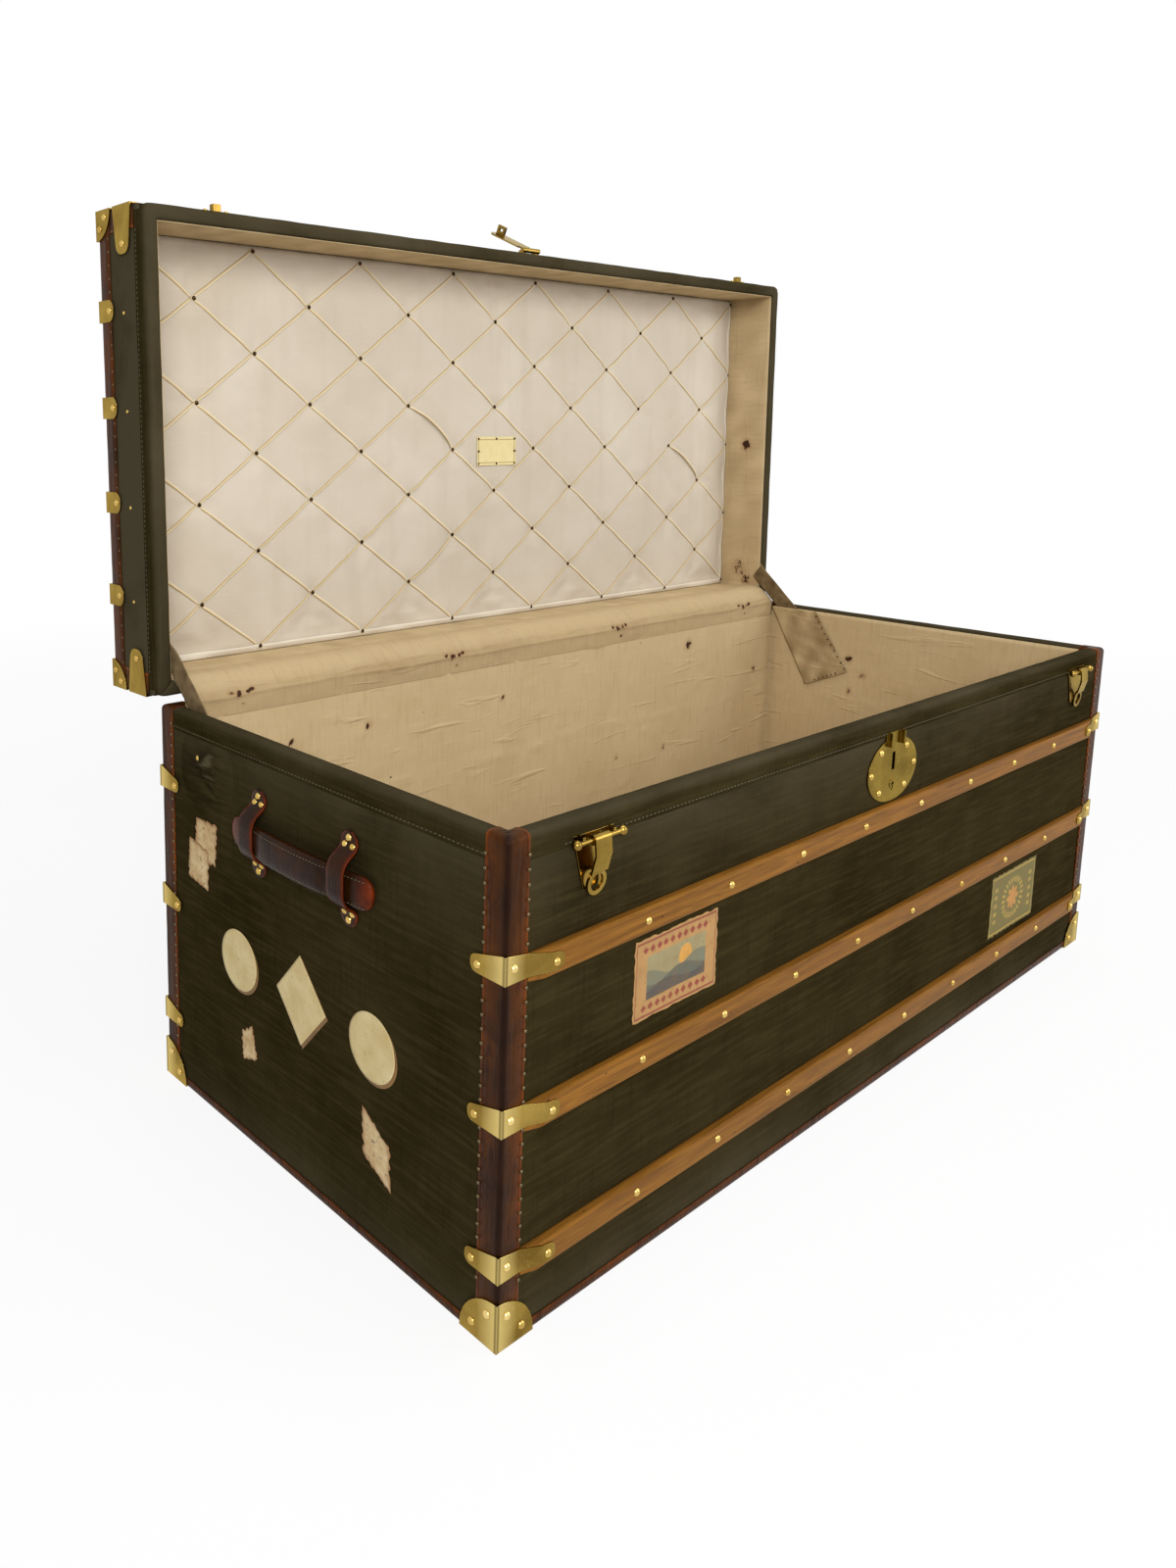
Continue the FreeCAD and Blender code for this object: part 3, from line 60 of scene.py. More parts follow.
class Finish:
    """A material named for what it covers. Each method adds one node and gives back the socket it makes."""

    def __init__(self, name, **fixed):
        """Starts the material; the values given are the same all over and are set on the shader itself."""
        self.material = bpy.data.materials.new(name)
        self.material.use_nodes = True
        self.tree = self.material.node_tree
        self.shader = self.tree.nodes["Principled BSDF"]
        for socket, value in fixed.items():
            self.shader.inputs[socket.replace("_", " ")].default_value = value

    def node(self, kind, feeds, **settings):
        """Any node: feeds are its inputs, as sockets to join or as fixed values."""
        made = self.tree.nodes.new("ShaderNode" + kind)
        for name, value in settings.items():
            setattr(made, name, value)
        for key, value in feeds.items():
            if isinstance(value, bpy.types.NodeSocket):
                self.tree.links.new(value, made.inputs[key])
            else:
                made.inputs[key].default_value = value
        return made

    def place(self, source="Object", scale=(1, 1, 1), turn=(0, 0, 0)):
        """Object coordinates, or the piece's own map, in metres and stretched or turned."""
        found = self.node("TexCoord", {}).outputs[source]
        return self.node("Mapping", {"Vector": found, "Scale": scale, "Rotation": turn}).outputs[0]

    def mark(self, name, output="Fac"):
        """A number or colour that the mesh carries."""
        return self.node("Attribute", {}, attribute_name=name).outputs[output]

    def noise(self, at, scale, detail=3.0, rough=0.55, warp=0.0):
        """Cloudy unevenness, a half on average, of so many waves to the metre and ever finer layers."""
        feeds = {"Vector": at, "Scale": scale, "Detail": detail, "Roughness": rough, "Distortion": warp}
        return self.node("TexNoise", feeds).outputs[0]

    def cells(self, at, scale):
        """Distance to the nearest of points that are scattered one to a cell."""
        return self.node("TexVoronoi", {"Vector": at, "Scale": scale}).outputs["Distance"]

    def calc(self, operation, one, other=0.0):
        """One step of arithmetic."""
        return self.node("Math", {0: one, 1: other}, operation=operation).outputs[0]

    def span(self, value, low, high, start=0.0, end=1.0):
        """Stretches the part of a value between low and high over start to end."""
        feeds = {"Value": value, "From Min": low, "From Max": high, "To Min": start, "To Max": end}
        return self.node("MapRange", feeds).outputs[0]

    def mix(self, share, one, other):
        """One colour, with a share of another over it."""
        feeds = {0: share, 6: one, 7: other}
        return self.node("Mix", feeds, data_type="RGBA").outputs[2]

    def two_tone(self, value, low, high, dark, light):
        """Goes from one colour to another as a value goes from low to high."""
        return self.mix(self.span(value, low, high), tone(*dark), tone(*light))

    def tint(self, colour, value, low, high, most, shade):
        """Lays a shade over a colour, up to a largest share, as a value goes from low to high."""
        return self.mix(self.span(value, low, high, 0.0, most), colour, tone(*shade))

    def threads(self, at, pitch, wander=0.25):
        """Plain weave: a sine across times a sine along, each thread a little off its line."""
        stray = self.node("TexNoise", {"Vector": at, "Scale": 0.12 / pitch}).outputs["Color"]
        feeds = {0: stray, 1: (wander * pitch,) * 3, 2: at}
        moved = self.node("VectorMath", feeds, operation="MULTIPLY_ADD").outputs[0]
        split = self.node("SeparateXYZ", {0: moved}).outputs
        turns = 2 * math.pi / pitch
        waves = [self.calc("SINE", self.calc("MULTIPLY", split[k], turns)) for k in (0, 1)]
        return self.calc("MULTIPLY", *waves)

    def relief(self, height, depth, onto=None, strength=1.0):
        """Fine ups and downs of a height times a depth, laid over earlier ones where these are given."""
        feeds = {"Height": height, "Distance": depth, "Strength": strength}
        if onto is not None:
            feeds["Normal"] = onto
        return self.node("Bump", feeds).outputs[0]

    def soft_edge(self, radius):
        """Rounds the look of a sharp metal edge by a small radius."""
        return self.node("Bevel", {"Radius": radius}, samples=4).outputs[0]

    def wear(self, **links):
        """Joins sockets to the shader's own."""
        for socket, value in links.items():
            self.tree.links.new(value, self.shader.inputs[socket.replace("_", " ")])
        return self


def coat(finish, *names):
    """Gives CAD nodes a finish; their shapes stay."""
    for name in names:
        nodes[name].data.materials.clear()
        nodes[name].data.materials.append(finish.material)


poplar = Finish("sawn_poplar")
fibre = poplar.noise(poplar.place(scale=(6, 60, 60)), 6, 6, 0.65, 0.6)
poplar.wear(
    Base_Color=poplar.two_tone(fibre, 0.3, 0.7, (150, 118, 78), (196, 166, 118)),
    Roughness=poplar.span(fibre, 0.2, 0.8, 0.75, 0.9),
    Normal=poplar.relief(fibre, 0.4 * MM),
)
boards = ["front_panel", "back_panel", "left_panel", "right_panel", "bottom_panel", "lid_top_panel"]
coat(poplar, *boards, *(f"lid_{side}_wall" for side in ("front", "back", "left", "right")))

# Body canvas. Dark olive coated cloth, glued round the four walls under the bindings.
# It lies a little unevenly on the boards, is dented near the left back corner and scuffed at its edges.
half_length, half_depth = 550 * MM, 243.5 * MM
wall_top, rim_top = 384 * MM, 402 * MM
board_foot = 1.5 * MM
depth = 2 * half_depth
cloth_thick = 1.2 * MM


def square_ring(half_x, half_y, step):
    """Walks a rectangle once, anticlockwise from the back left corner, in even steps on each side.
    The outward direction leans from one corner's mitre to the next: normal + tangent x (2 u - 1).
    Gives the points, the outward directions and the distance walked."""
    corners = np.array([[-1, 1], [-1, -1], [1, -1], [1, 1]]) * (half_x, half_y)
    points, outward = [], []
    for start, end in zip(corners, np.roll(corners, -1, 0)):
        length = np.abs(end - start).sum()
        tangent = (end - start) / length
        share = np.linspace(0, 1, int(length / step) + 2)[:-1, None]
        points.append(start + (end - start) * share)
        outward.append(np.array([tangent[1], -tangent[0]]) + tangent * (2 * share - 1))
    points = np.concatenate(points + [corners[:1]])
    outward = np.concatenate(outward + [outward[0][:1]])
    walked = np.concatenate(([0], np.cumsum(np.abs(np.diff(points, axis=0)).sum(1))))
    return points, outward, walked


def wrap(ring, out, up):
    """Carries a profile round a ring: each point goes out along the ring's outward direction, and up."""
    points, outward, _ = ring
    flat = points[:, None] + outward[:, None] * np.atleast_2d(out)[..., None]
    return np.concatenate((flat, np.broadcast_to(up, flat.shape[:2])[..., None]), 2)


def grid_of(rows, cols):
    """Two grids that give each cell its row's value and its column's."""
    return np.meshgrid(rows, cols, indexing="ij")


def drift(along, across, length, seed, waves=14):
    """Slow unevenness, about -1 to 1: plane waves of about one length, turned at random, added up."""
    dice = np.random.default_rng(seed)
    turn, phase = dice.uniform(0, 2 * np.pi, (2, waves))
    pace = 2 * np.pi / (length * dice.uniform(0.6, 1.6, waves))
    travel = np.multiply.outer(along, pace * np.cos(turn)) + np.multiply.outer(across, pace * np.sin(turn))
    return np.sin(travel + phase).sum(-1) / 5


def bell(value, width):
    """One at nought, falling away on both sides: e to the power of minus the square of value over width."""
    return np.exp(-((value / width) ** 2))


def spots(along, across, places, sizes):
    """Round soft spots added up: one bell curve about each place, as wide as its size."""
    places = np.asarray(places)
    gap = (along[..., None] - places[:, 0]) ** 2 + (across[..., None] - places[:, 1]) ** 2
    return np.exp(-gap / (2 * np.asarray(sizes) ** 2)).sum(-1)


def quads(grid):
    """The four corners of each cell of a grid, in the order rows, then columns."""
    cells = np.stack((grid[:-1, :-1], grid[1:, :-1], grid[1:, 1:], grid[:-1, 1:]), 2)
    return cells.reshape(-1, 4, *grid.shape[2:])


def fill(name, places, faces):
    """Puts points and faces, given as arrays of corner numbers, into a new smooth mesh object."""
    mesh = bpy.data.meshes.new(name)
    mesh.vertices.add(len(places))
    mesh.vertices.foreach_set("co", np.asarray(places, np.float32).ravel())
    corners = np.concatenate([group.ravel() for group in faces]).astype(np.int32)
    sizes = np.concatenate([np.full(len(group), group.shape[1]) for group in faces])
    mesh.loops.add(len(corners))
    mesh.loops.foreach_set("vertex_index", corners)
    mesh.polygons.add(len(sizes))
    mesh.polygons.foreach_set("loop_start", (np.cumsum(sizes) - sizes).astype(np.int32))
    mesh.polygons.foreach_set("use_smooth", np.ones(len(sizes), bool))
    mesh.update(calc_edges=True)
    piece = bpy.data.objects.new(name, mesh)
    bpy.context.scene.collection.objects.link(piece)
    return piece


def tend(piece, work):
    """Runs a bmesh change on a piece's mesh."""
    shape = bmesh.new()
    shape.from_mesh(piece.data)
    work(shape)
    shape.to_mesh(piece.data)
    shape.free()
    return piece


def weld(shape):
    """Merges points that lie in the same place."""
    bmesh.ops.remove_doubles(shape, verts=shape.verts, dist=0.002 * MM)


def lay(name, *sheets, thick=None):
    """Makes one mesh of point grids: four neighbours make a face, its front where rows x columns points.
    Each grid comes with its map in metres and its marks. A last row or column equal to the first closes it.
    A thickness is added behind the front."""
    places, corners, maps, marks, count = [], [], [], {}, 0
    for points, chart, notes in sheets:
        rows, cols = points.shape[:2]
        ring = int(np.allclose(points[0], points[-1]))
        tube = int(np.allclose(points[:, 0], points[:, -1]))
        row_start = np.arange(rows) % (rows - ring) * (cols - tube)
        kept = np.s_[: rows - ring, : cols - tube]
        places.append(points[kept].reshape(-1, 3))
        corners.append(count + quads(np.add.outer(row_start, np.arange(cols) % (cols - tube))))
        maps.append(quads(chart))
        for key, values in notes.items():
            marks.setdefault(key, []).append(values[kept].reshape(-1, *values.shape[2:]))
        count += len(places[-1])
    piece = fill(name, np.concatenate(places), corners)
    chart = piece.data.uv_layers.new(name="cut")
    chart.data.foreach_set("uv", np.concatenate(maps).astype(np.float32).ravel())
    for key, values in marks.items():
        values = np.concatenate(values).astype(np.float32)
        kind, field = ("FLOAT", "value") if values.ndim == 1 else ("FLOAT_COLOR", "color")
        piece.data.attributes.new(key, kind, "POINT").data.foreach_set(field, values.ravel())
    if thick:
        wall = piece.modifiers.new("thickness", "SOLIDIFY")
        wall.thickness = thick
        wall.offset = -1
    return piece


def flat_map(along, across):
    """The map of a cut piece: each point's place along and across it, in metres."""
    return np.stack(np.broadcast_arrays(along, across), -1)


def dress(piece, finish, body, stands_for=()):
    """Gives a piece its finish, the body it moves with, and the CAD nodes it stands for."""
    piece.data.materials.append(finish.material)
    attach(piece, body)
    if stands_for:
        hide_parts(*stands_for)
    return piece


dent_at = (67.5 * MM, 361 * MM)
dent_length, dent_height, crease_step = 34 * MM, 15 * MM, 3.4 * MM
deepest = 1.25


def canvas_sink(along, up):
    """How far the canvas lies off its true plane: slow hollows, and beside one nail a dent with creases.
    The dent is a bell along times a bell up, its creases a slanting cosine, and the boards stop it."""
    slow = np.minimum(drift(along, up, 110 * MM, 1) + 0.5 * drift(along, up, 34 * MM, 2) - 1.1, 0)
    beside, above = along - dent_at[0], up - dent_at[1]
    near = bell(beside - 12 * MM, dent_length) * bell(above + 9 * MM, dent_height)
    crease = 0.5 - 0.5 * np.cos((above + 0.4 * beside) / crease_step)
    return np.maximum(0.24 * slow + near * (1.0 - 2.1 * crease), -deepest) * MM


canvas = Finish("olive_canvas", Specular_IOR_Level=0.0)
cloth_at = canvas.place("UV")
streaks = canvas.noise(canvas.place("UV", scale=(14, 210, 1)), 1.0, 4, 0.6)
upright = canvas.noise(canvas.place("UV", scale=(240, 16, 1)), 1.0, 3, 0.6)
cloudy = canvas.noise(cloth_at, 7, 5, 0.6, 0.4)
# The wear mark lightens the canvas: worn edges, and on the rims' rounded tops also a painted highlight.
edge_wear_and_highlight = canvas.calc("MULTIPLY", canvas.mark("worn"), canvas.span(cloudy, 0.25, 0.7, 0.35, 1.2))
scuff_at = canvas.place("UV", scale=(30, 190, 1), turn=(0, 0, 0.35))
scuffs = canvas.span(canvas.noise(scuff_at, 1, 5, 0.75), 0.66, 0.76)
rubbed = canvas.calc("MULTIPLY", scuffs, canvas.span(canvas.noise(cloth_at, 5, 2), 0.5, 0.68, 0.0, 0.55))
ground = canvas.two_tone(cloudy, 0.3, 0.72, (33, 26, 7), (49, 41, 18))
ground = canvas.tint(ground, streaks, 0.45, 0.72, 0.6, (65, 56, 31))
ground = canvas.tint(ground, upright, 0.5, 0.8, 0.4, (17, 13, 3))
ground = canvas.mix(edge_wear_and_highlight, ground, tone(74, 67, 50))
ground = canvas.mix(rubbed, ground, tone(104, 92, 66))
woven = canvas.threads(cloth_at, 1.3 * MM)
grain = canvas.relief(woven, 0.12 * MM, strength=0.7)
grain = canvas.relief(streaks, 0.5 * MM, grain, 0.55)
grain = canvas.relief(canvas.noise(cloth_at, 60, 4), 0.6 * MM, grain, 0.35)
middle = (dent_at[0] + 16 * MM, dent_at[1] - 10 * MM, 0)
dent_gap = canvas.node("VectorMath", {0: cloth_at, 1: middle}, operation="DISTANCE").outputs["Value"]
# The creases beside the dent: a bump, with their crests painted lighter as a painted highlight.
creases = canvas.noise(canvas.place("UV", scale=(16, 62, 1), turn=(0, 0, 0.45)), 1.0, 2, 0.5, 0.6)
creases = canvas.calc("MULTIPLY", creases, canvas.span(dent_gap, 10 * MM, 48 * MM, 1.0, 0.0))
ground = canvas.tint(ground, creases, 0.46, 0.64, 0.5, (112, 102, 78))
grain = canvas.relief(creases, 30 * MM, grain, 1.0)
canvas.wear(Base_Color=ground, Roughness=canvas.span(cloudy, 0.25, 0.75, 0.46, 0.66), Normal=grain)

ring = square_ring(half_length, half_depth, 6 * MM)
walk, rise = grid_of(ring[2], np.linspace(board_foot, wall_top + 3 * MM, 76))
worn = np.exp((rise - rim_top) / (34 * MM)) + 0.75 * np.exp(-rise / (26 * MM)) + 0.12
cover = lay(
    "body_canvas_cover",
    (wrap(ring, canvas_sink(walk, rise), rise), flat_map(walk, rise), {"worn": worn}),
    thick=cloth_thick,
)


lock_level, slot_half_wide, slot_half_tall = 355 * MM, 7 * MM, 13 * MM


def cut_for_lock(shape):
    """Takes out the faces behind the lock plate, where the hasp's tongue goes in."""
    faces = list(shape.faces)
    x, y, z = np.array([face.calc_center_median() for face in faces]).T
    behind = (np.abs(x) < slot_half_wide) & (y < 0) & (np.abs(z - lock_level) < slot_half_tall)
    bmesh.ops.delete(shape, geom=[faces[k] for k in np.flatnonzero(behind)], context="FACES")


dress(tend(cover, cut_for_lock), canvas, "trunk", ["body_canvas"])
coat(canvas, "bottom_canvas")

# Body rim. A strip of the same canvas is drawn over the walls' top edge, glued down on both sides
# and sewn along its outer hem.
hem_out, hem_rise = [0.1, 0.75, 0.9, 0.75, 0.7, 0.6, 0.2], [-21, -20.7, -19, -16, -11, -7, -4.2]
over_out, over_rise = [-0.8, -2.4, -4.5, -8, -11.5, -13.4], [-2, -0.7, -0.15, 0.05, -0.15, -0.8]
inner_out, inner_rise = [-14.7, -15.1, -15.2, -15.2], [-2.3, -4.6, -9, -17]
rim_out = np.array(hem_out + over_out + inner_out)
rim_rise = np.array(hem_rise + over_rise + inner_rise)


def corner_distance(walk, half_x, half_y):
    """Distance, along the walk round a rectangle, to the nearest of its corners."""
    corners = np.cumsum([0, 2 * half_y, 2 * half_x, 2 * half_y, 2 * half_x])
    return np.min(np.abs(np.subtract.outer(walk, corners)), -1)


def run_length(*ways):
    """Length run along a line of points, given as one array for each direction."""
    return np.concatenate(([0], np.cumsum(np.hypot(*(np.diff(way) for way in ways)))))


def rim_cover(name, level, way, seed):
    """Rim profile carried round the walls: outer hem, rounded top, inner side; upside down for the lid's."""
    ring = square_ring(half_length, half_depth, 3.5 * MM)
    corner_gap = corner_distance(ring[2], half_length, half_depth)[:, None]
    order = np.s_[::way]
    out, up = rim_out[order] * MM, rim_rise[order] * MM * way
    walk, path = grid_of(ring[2], up)
    soft = 0.22 * MM * (drift(walk, path, 55 * MM, seed) - 1) * (out > -15 * MM)
    soft = soft - 2.4 * MM * bell(corner_gap, 5 * MM) * np.clip(1 + out / (8 * MM), 0, 1)
    girth = run_length(out, up)
    # The rounded top is lighter, as wear and as a painted highlight along its crest.
    sides = {"worn": 0.15 + 0.65 * bell(path, 5 * MM)}
    points = wrap(ring, out + soft, level + path + 0.3 * soft * way)
    return lay(name, (points, flat_map(walk, girth), sides), thick=0.6 * MM)


def studs(name, places, along, across, out, rings=((1, 0), (0.82, 0.55), (0.42, 0.9))):
    """Small heads or stitches: ellipses that shrink as they rise, closed by a flat top.
    Each ring is a share of the half sizes along and across, at a share of the height out."""
    turn = np.linspace(0, 2 * np.pi, 8, endpoint=False)
    level = np.array(rings)
    spread = level[:, :1, None] * np.stack((np.cos(turn), np.sin(turn)), -1)
    places, along, across, out = (np.asarray(v, float)[:, None, None] for v in (places, along, across, out))
    points = places + along * spread[..., :1] + across * spread[..., 1:] + out * level[:, 1, None, None]
    count, rows, cols = points.shape[:3]
    number = np.arange(count * rows * cols).reshape(count, rows, cols)
    number = np.concatenate((number, number[..., :1]), 2)
    walls = np.stack((number[:, :-1, :-1], number[:, :-1, 1:], number[:, 1:, 1:], number[:, 1:, :-1]), -1)
    faces = [walls.reshape(-1, 4), number[:, -1, :-1], number[:, 0, -2::-1]]
    return fill(name, points.reshape(-1, 3), faces)


dress(rim_cover("body_rim_cover", rim_top, 1, 5), canvas, "trunk", ["body_rim"])

thread = Finish("waxed_thread", Roughness=0.7)
thread_at = thread.noise(thread.place(), 900, 2)
thread.wear(Base_Color=thread.mix(thread_at, tone(46, 40, 26), tone(104, 94, 70)))


stitch_step, stitch_half, stitch_thin, stitch_high = 5 * MM, 1.7 * MM, 0.45 * MM, 0.35 * MM
hem_proud, hem_drop = 0.8 * MM, 17.5 * MM


def straight_out(outward):
    """The wall's own direction out of a mitred one: its larger part alone, as one or minus one."""
    size = np.abs(outward)
    return np.sign(outward) * (size == size.max(1)[:, None])


def hem_stitches(name, level):
    """A row of stitches along the outer hem on all four walls, in even steps and clear of the corners."""
    points, outward, _ = square_ring(half_length, half_depth, stitch_step)
    kept = np.abs(outward).min(1) < 0.9
    points, away = points[kept], straight_out(outward)[kept]
    places = np.column_stack((points + away * hem_proud, np.full(len(points), level)))
    out = np.column_stack((away, np.zeros(len(points))))
    run = np.cross(out, (0, 0, 1.0))
    up = np.tile((0, 0, stitch_thin), (len(points), 1))
    return studs(name, places, run * stitch_half, up, out * stitch_high)


dress(hem_stitches("body_rim_stitches", rim_top - hem_drop), thread, "trunk")

# Body lining. Beige cotton pasted to the inside of the walls and floor, and carried up inside the rim.
# It has lifted in places, has a lapped seam along the walls, is spotted with rust and grime, and darkens into
# its corners and towards the floor by dirt and painted shade.
room_length, room_depth = 534 * MM, 227.5 * MM
floor_level, lining_top, seam_level = 16 * MM, 397.5 * MM, 264 * MM
side_turn = 2 * room_depth


def wall_ripple(along, up, seed):
    """Lift of pasted cloth off its wall: thin upright ridges, scattered blisters and a lapped seam."""
    ridges = np.clip(drift(along * 5, up, 55 * MM, seed) - 0.55, 0, 1)
    blisters = np.clip(drift(along, up, 17 * MM, seed + 1) - 0.8, 0, 1)
    wander = 4 * MM * np.sin(along / (90 * MM)) + 2 * MM * drift(along, up * 0, 60 * MM, seed + 2)
    seam = bell(up - seam_level - wander, 1.8 * MM) * (0.6 + 0.4 * drift(along, up * 0, 30 * MM, seed + 3))
    folds = np.clip(drift(along, up * 5, 75 * MM, seed + 4) - 0.75, 0, 1)
    return (0.35 + 1.2 * ridges + 1.6 * blisters + 1.4 * folds + 1.4 * np.clip(seam, 0, 1.2)) * MM


lining = Finish("beige_lining", Specular_IOR_Level=0.22)
cloth_at = lining.place("UV")
slubs = lining.noise(lining.place("UV", scale=(220, 22, 1)), 1.0, 4, 0.65)
weft = lining.noise(lining.place("UV", scale=(20, 260, 1)), 1.0, 3, 0.6)
cloudy = lining.noise(cloth_at, 9, 5, 0.6, 0.5)
flecks = lining.span(lining.cells(cloth_at, 22), 0.05, 0.028)
flecks = lining.calc("MULTIPLY", flecks, lining.span(lining.noise(cloth_at, 11, 2), 0.55, 0.6))
rust_edge = lining.noise(cloth_at, 150, 4, 0.7)
rust_mark = lining.mark("rust")
rusted = lining.calc("ADD", rust_mark, lining.span(rust_edge, 0.2, 0.8, -0.5, 0.5))
rusted = lining.span(rusted, 0.45, 0.6)
halo = lining.calc("ADD", rust_mark, lining.span(cloudy, 0.2, 0.8, -0.25, 0.25))
# Darker where the mesh's grime mark says: dirt, and painted shade in corners, along the floor and in the
# hinge creases.
soiled_and_shaded = lining.calc("MULTIPLY", lining.mark("grime_and_shade"), lining.span(cloudy, 0.3, 0.7, 0.5, 1.0))
ground = lining.two_tone(cloudy, 0.3, 0.75, (196, 172, 130), (210, 188, 148))
ground = lining.tint(ground, slubs, 0.5, 0.85, 0.5, (168, 142, 100))
ground = lining.tint(ground, weft, 0.55, 0.85, 0.35, (220, 202, 166))
ground = lining.mix(soiled_and_shaded, ground, tone(128, 102, 62))
ground = lining.tint(ground, halo, 0.05, 0.6, 0.45, (140, 92, 48))
ground = lining.mix(lining.calc("MAXIMUM", rusted, flecks), ground, tone(58, 32, 17))
grain = lining.relief(lining.threads(cloth_at, 1.1 * MM), 0.14 * MM, strength=0.6)
grain = lining.relief(slubs, 0.6 * MM, grain, 0.6)
grain = lining.relief(cloudy, 2.0 * MM, grain, 0.5)
wrinkles = lining.noise(lining.place("UV", scale=(8, 70, 1), turn=(0, 0, 0.09)), 1.0, 3, 0.5, 0.9)
grain = lining.relief(lining.span(wrinkles, 0.62, 0.76), 3 * MM, grain, 0.45)
lining.wear(Base_Color=ground, Roughness=lining.span(slubs, 0.2, 0.8, 0.78, 0.92), Normal=grain)

ring = square_ring(room_length, room_depth, 6 * MM)
walk, drop = grid_of(ring[2], np.linspace(lining_top, floor_level, 66))
fade = np.clip((lining_top + 0.5 * MM - drop) / (40 * MM), 0, 1)
lift = 0.1 * MM + wall_ripple(walk, drop, 11) * fade
back_walk = 2 * (room_length + side_turn)
right_walk = side_turn + 2 * room_length
right_rust = [(0.320, 0.333), (0.297, 0.310), (0.317, 0.283)]
back_rust = [(-0.185, 0.391), (0.315, 0.36), (-0.294, 0.34), (-0.402, 0.339)]
back_rust += [(0.156, 0.218), (0.264, 0.213), (-0.076, 0.338), (0.49, 0.30)]
rust_walks = [(right_walk + y, z) for y, z in right_rust]
rust_walks += [(back_walk + room_length - x, z) for x, z in back_rust]
rust_sizes = np.array([4, 3.4, 2.6, 6, 5, 3.2, 3, 2.6, 2.8, 2.4, 3.6]) * MM
rust = spots(walk, drop, rust_walks, rust_sizes)
corner_gap = corner_distance(walk, room_length, room_depth)
# Darker into the upright corners and towards the floor: dirt, and painted shade.
grime_and_shade = 0.55 * np.exp(-corner_gap / (9 * MM)) + 0.6 * np.exp((floor_level - drop) / (30 * MM)) + 0.1
walls = (wrap(ring, -lift, drop), flat_map(walk, drop), {"rust": rust, "grime_and_shade": grime_and_shade})
wide, deep = grid_of(*(np.linspace(-half, half, n) for half, n in ((room_length, 130), (room_depth, 58))))
bed = floor_level + 0.5 * MM * np.clip(drift(wide, deep, 60 * MM, 14), 0, 1)
edge_gap = np.minimum(room_length - np.abs(wide), room_depth - np.abs(deep))
rust = spots(wide, deep, [(-0.21, 0.05), (0.3, -0.1)], [3 * MM, 4 * MM])
# The floor cloth darkens towards the walls: dirt, and painted shade.
notes = {"rust": rust, "grime_and_shade": 0.7 * np.exp(-edge_gap / (25 * MM)) + 0.15}
floor_cloth = (np.stack((wide, deep, bed), -1), flat_map(wide, deep), notes)
body_lining = lay("body_lining_cloth", walls, floor_cloth, thick=0.8 * MM)
dress(body_lining, lining, "trunk", ["body_lining"])

# Corner bindings. Strips of oxblood leather folded round the four upright edges and over the rim,
# with a pressed line beside each edge and a row of small iron nails.
leather_leg, leather_out = 22 * MM, 1.45 * MM
pressed_at, nail_inset, nail_step = 18.4 * MM, 20.6 * MM, 11.2 * MM


def corner_path(index, half_x, half_y):
    """Walks round one upright corner, a leg before it and a leg after, in the form of a ring.
    The outward direction leans from each leg's own to the corner's mitre."""
    corners = np.array([[-1, 1], [-1, -1], [1, -1], [1, 1]]) * (half_x, half_y)
    ways = np.array([[0, -1], [1, 0], [0, 1], [-1, 0]])
    before, after = ways[index - 1], ways[index]
    leg = np.array([0, 0.5, 1.1, 1.8, 2.6, 3.6, 5, 7.5, 11, 15, 17.6, 18.4, 19.2, 20, 21.2, 21.8, 22])
    leg = leg * MM
    lean = (1 - leg / leather_leg)[:, None]
    first = corners[index] - before * leg[::-1, None]
    first_out = np.array([before[1], -before[0]]) + before * lean[::-1]
    last = corners[index] + after * leg[1:, None]
    last_out = np.array([after[1], -after[0]]) - after * lean[1:]
    walked = np.concatenate((-leg[::-1], leg[1:]))
    return np.concatenate((first, last)), np.concatenate((first_out, last_out)), walked


def bound_corners(name, out, up, seed):
    """The leather's profile, up the wall and over the rim, carried round each of the four corners.
    The corner itself is rounded, the edges thin out, and a line is pressed in near them."""
    sheets = []
    girth = run_length(out, up)
    for index in range(4):
        path = corner_path(index, half_length, half_depth)
        walk, run = grid_of(path[2], girth)
        outer = np.clip((out + 3 * MM) / (3 * MM), 0, 1)
        ease = bell(walk, 1.7 * MM) * outer
        press = 0.4 * bell(np.abs(walk) - pressed_at, 0.6 * MM)
        thin = 0.7 * np.clip((np.abs(walk) - leather_leg + MM) / MM, 0, 1)
        soft = 0.14 * drift(walk, run + index, 45 * MM, seed)
        points = wrap(path, out - (ease + press + thin + np.abs(soft)) * MM, up)
        edge = np.exp((np.abs(walk) - leather_leg) / (3.2 * MM)) + 0.12 * bell(walk, 1.2 * MM)
        # Painted shade: the dark mark lies along the rounded corner and in the pressed lines.
        dark = np.clip(bell(walk, 5 * MM) + 0.8 * press, 0, 1)
        sheets.append((points, flat_map(walk + index, run), {"worn": edge, "dark": dark}))
    return lay(name, *sheets, thick=1.1 * MM)


